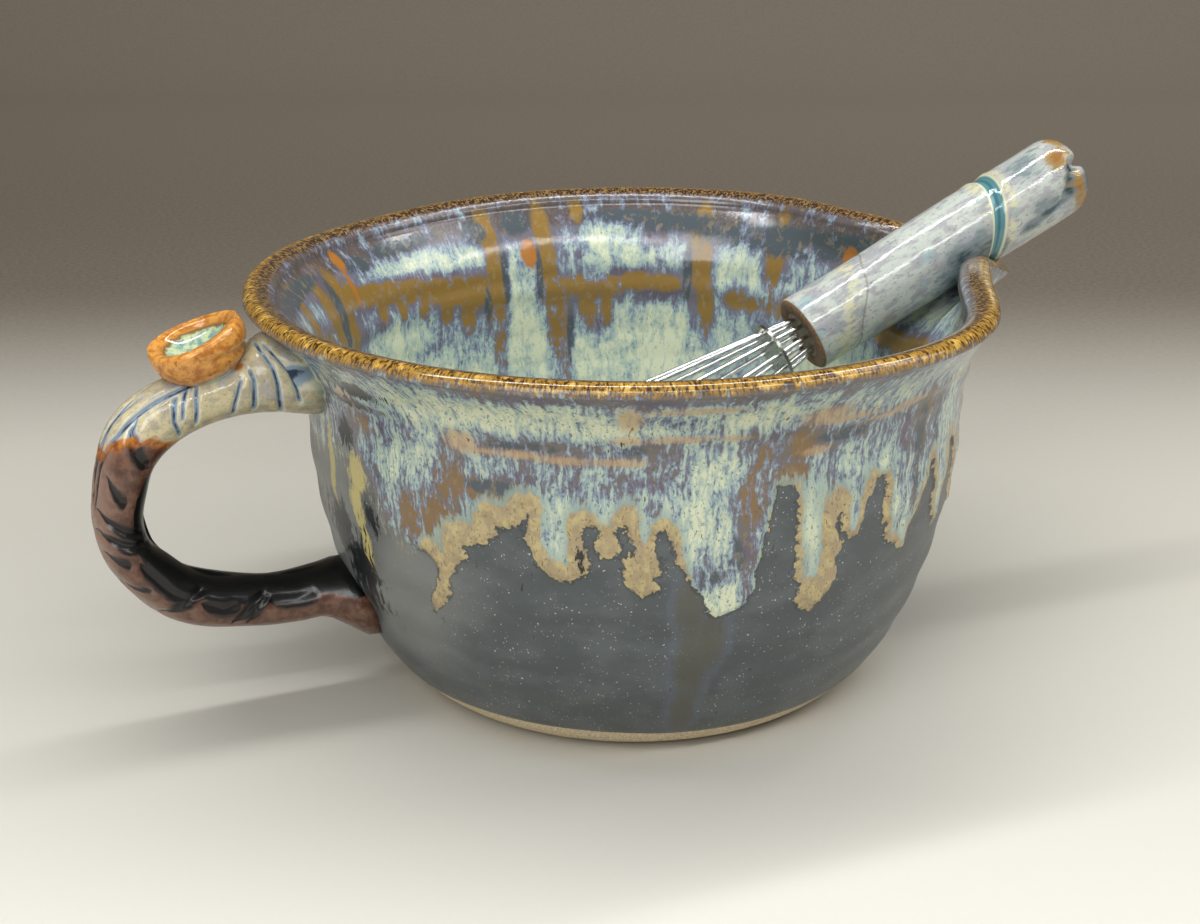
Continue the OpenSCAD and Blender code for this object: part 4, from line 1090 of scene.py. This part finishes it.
class BOWL_OT_set_stage(bpy.types.Operator):
    """Lay the paper, hang the lights and place the camera"""
    bl_idname = "batter_bowl.set_stage"
    bl_label = "Set the stage"

    def execute(self, context):
        deselect_all()
        bpy.ops.mesh.primitive_plane_add(size=1)
        sheet = bpy.context.object
        sheet.name = "paper_sweep"
        bpy.ops.object.mode_set(mode="EDIT")
        bpy.ops.transform.resize(value=(SHEET_W, SHEET_L, 1))
        bpy.ops.mesh.select_all(action="DESELECT")
        bpy.ops.object.mode_set(mode="OBJECT")
        for v in sheet.data.vertices:
            v.select = v.co.y > 0
        for e in sheet.data.edges:
            e.select = all(sheet.data.vertices[i].select for i in e.vertices)
        bpy.ops.object.mode_set(mode="EDIT")
        bpy.ops.mesh.select_mode(type="EDGE")
        for k in range(BEND_STEPS):
            a, b = (math.pi / 2 * j / BEND_STEPS for j in (k, k + 1))
            move = (0, BEND_R * (math.sin(b) - math.sin(a)), BEND_R * (math.cos(a) - math.cos(b)))
            bpy.ops.mesh.extrude_region_move(TRANSFORM_OT_translate={"value": move})
        bpy.ops.mesh.extrude_region_move(TRANSFORM_OT_translate={"value": (0, 0, SHEET_H)})
        face_outwards()
        # Turned to face the camera, its bend a metre behind the bowl
        sheet.rotation_euler = (0, 0, math.atan2(LEVEL_LOOK.y, LEVEL_LOOK.x) - math.pi / 2)
        sheet.location = -SHEET_BACK * LEVEL_LOOK
        bpy.ops.object.transform_apply(location=True, rotation=True, scale=True)
        bpy.ops.object.shade_smooth()
        sheet.data.materials.append(sweep_paper())

        for name, (at, size, power) in LIGHTS.items():
            bpy.ops.object.light_add(type="AREA", location=at)
            lamp = bpy.context.object
            lamp.name = name
            lamp.data.shape = "RECTANGLE"
            lamp.data.size, lamp.data.size_y = size
            lamp.data.energy = power
            # A softbox faces the bowl; a strip hangs square to it
            target = Vector((at[0] * (size[0] > 1), 0, 0.06))
            lamp.rotation_euler = (target - Vector(at)).to_track_quat("-Z", "Y").to_euler()
        world = bpy.data.worlds.new("soft_room")
        world.use_nodes = True
        sky = world.node_tree.nodes["Background"].inputs
        sky["Color"].default_value, sky["Strength"].default_value = srgb("#C9C7C2"), 0.56
        context.scene.world = world

        bpy.ops.object.camera_add(location=CAMERA_AT)
        camera = bpy.context.object
        camera.name = "camera"
        camera.data.sensor_width = SENSOR_MM
        camera.data.lens = SENSOR_MM * FOCAL_PX / FRAME_PX
        camera.data.clip_start, camera.data.clip_end = 0.02, 50
        camera.rotation_euler = Vector(CAMERA_LOOK).to_track_quat("-Z", "Y").to_euler()
        camera.rotation_euler.rotate_axis("Z", CAMERA_ROLL)
        context.scene.camera = camera
        context.scene.view_settings.view_transform = "Standard"
        return {"FINISHED"}


class BOWL_PT_panel(bpy.types.Panel):
    """Steps, sizes and colours of the batter bowl"""
    bl_label = "Batter bowl"
    bl_idname = "BOWL_PT_panel"
    bl_space_type = "VIEW_3D"
    bl_region_type = "UI"
    bl_category = "Batter bowl"

    def draw(self, context):
        for name in OPERATORS:
            self.layout.operator("batter_bowl." + name)
        for group in (context.scene.batter_bowl_sizes, context.scene.batter_bowl_colours):
            for name in group.__annotations__:
                self.layout.prop(group, name)


OPERATORS = ("throw_bowl", "pull_handle", "press_thumb_rest", "throw_whisk_handle", "finish_metal",
             "set_stage")
CLASSES = (BatterBowlSizes, BatterBowlColours, BOWL_OT_throw_bowl, BOWL_OT_pull_handle,
           BOWL_OT_press_thumb_rest, BOWL_OT_throw_whisk_handle, BOWL_OT_finish_metal,
           BOWL_OT_set_stage, BOWL_PT_panel)


def register():
    for cls in CLASSES:
        bpy.utils.register_class(cls)
    bpy.types.Scene.batter_bowl_sizes = PointerProperty(type=BatterBowlSizes)
    bpy.types.Scene.batter_bowl_colours = PointerProperty(type=BatterBowlColours)


def unregister():
    del bpy.types.Scene.batter_bowl_colours
    del bpy.types.Scene.batter_bowl_sizes
    for cls in reversed(CLASSES):
        bpy.utils.unregister_class(cls)


def main():
    register()
    for name in OPERATORS:
        getattr(bpy.ops.batter_bowl, name)()


if __name__ == "__main__":
    main()
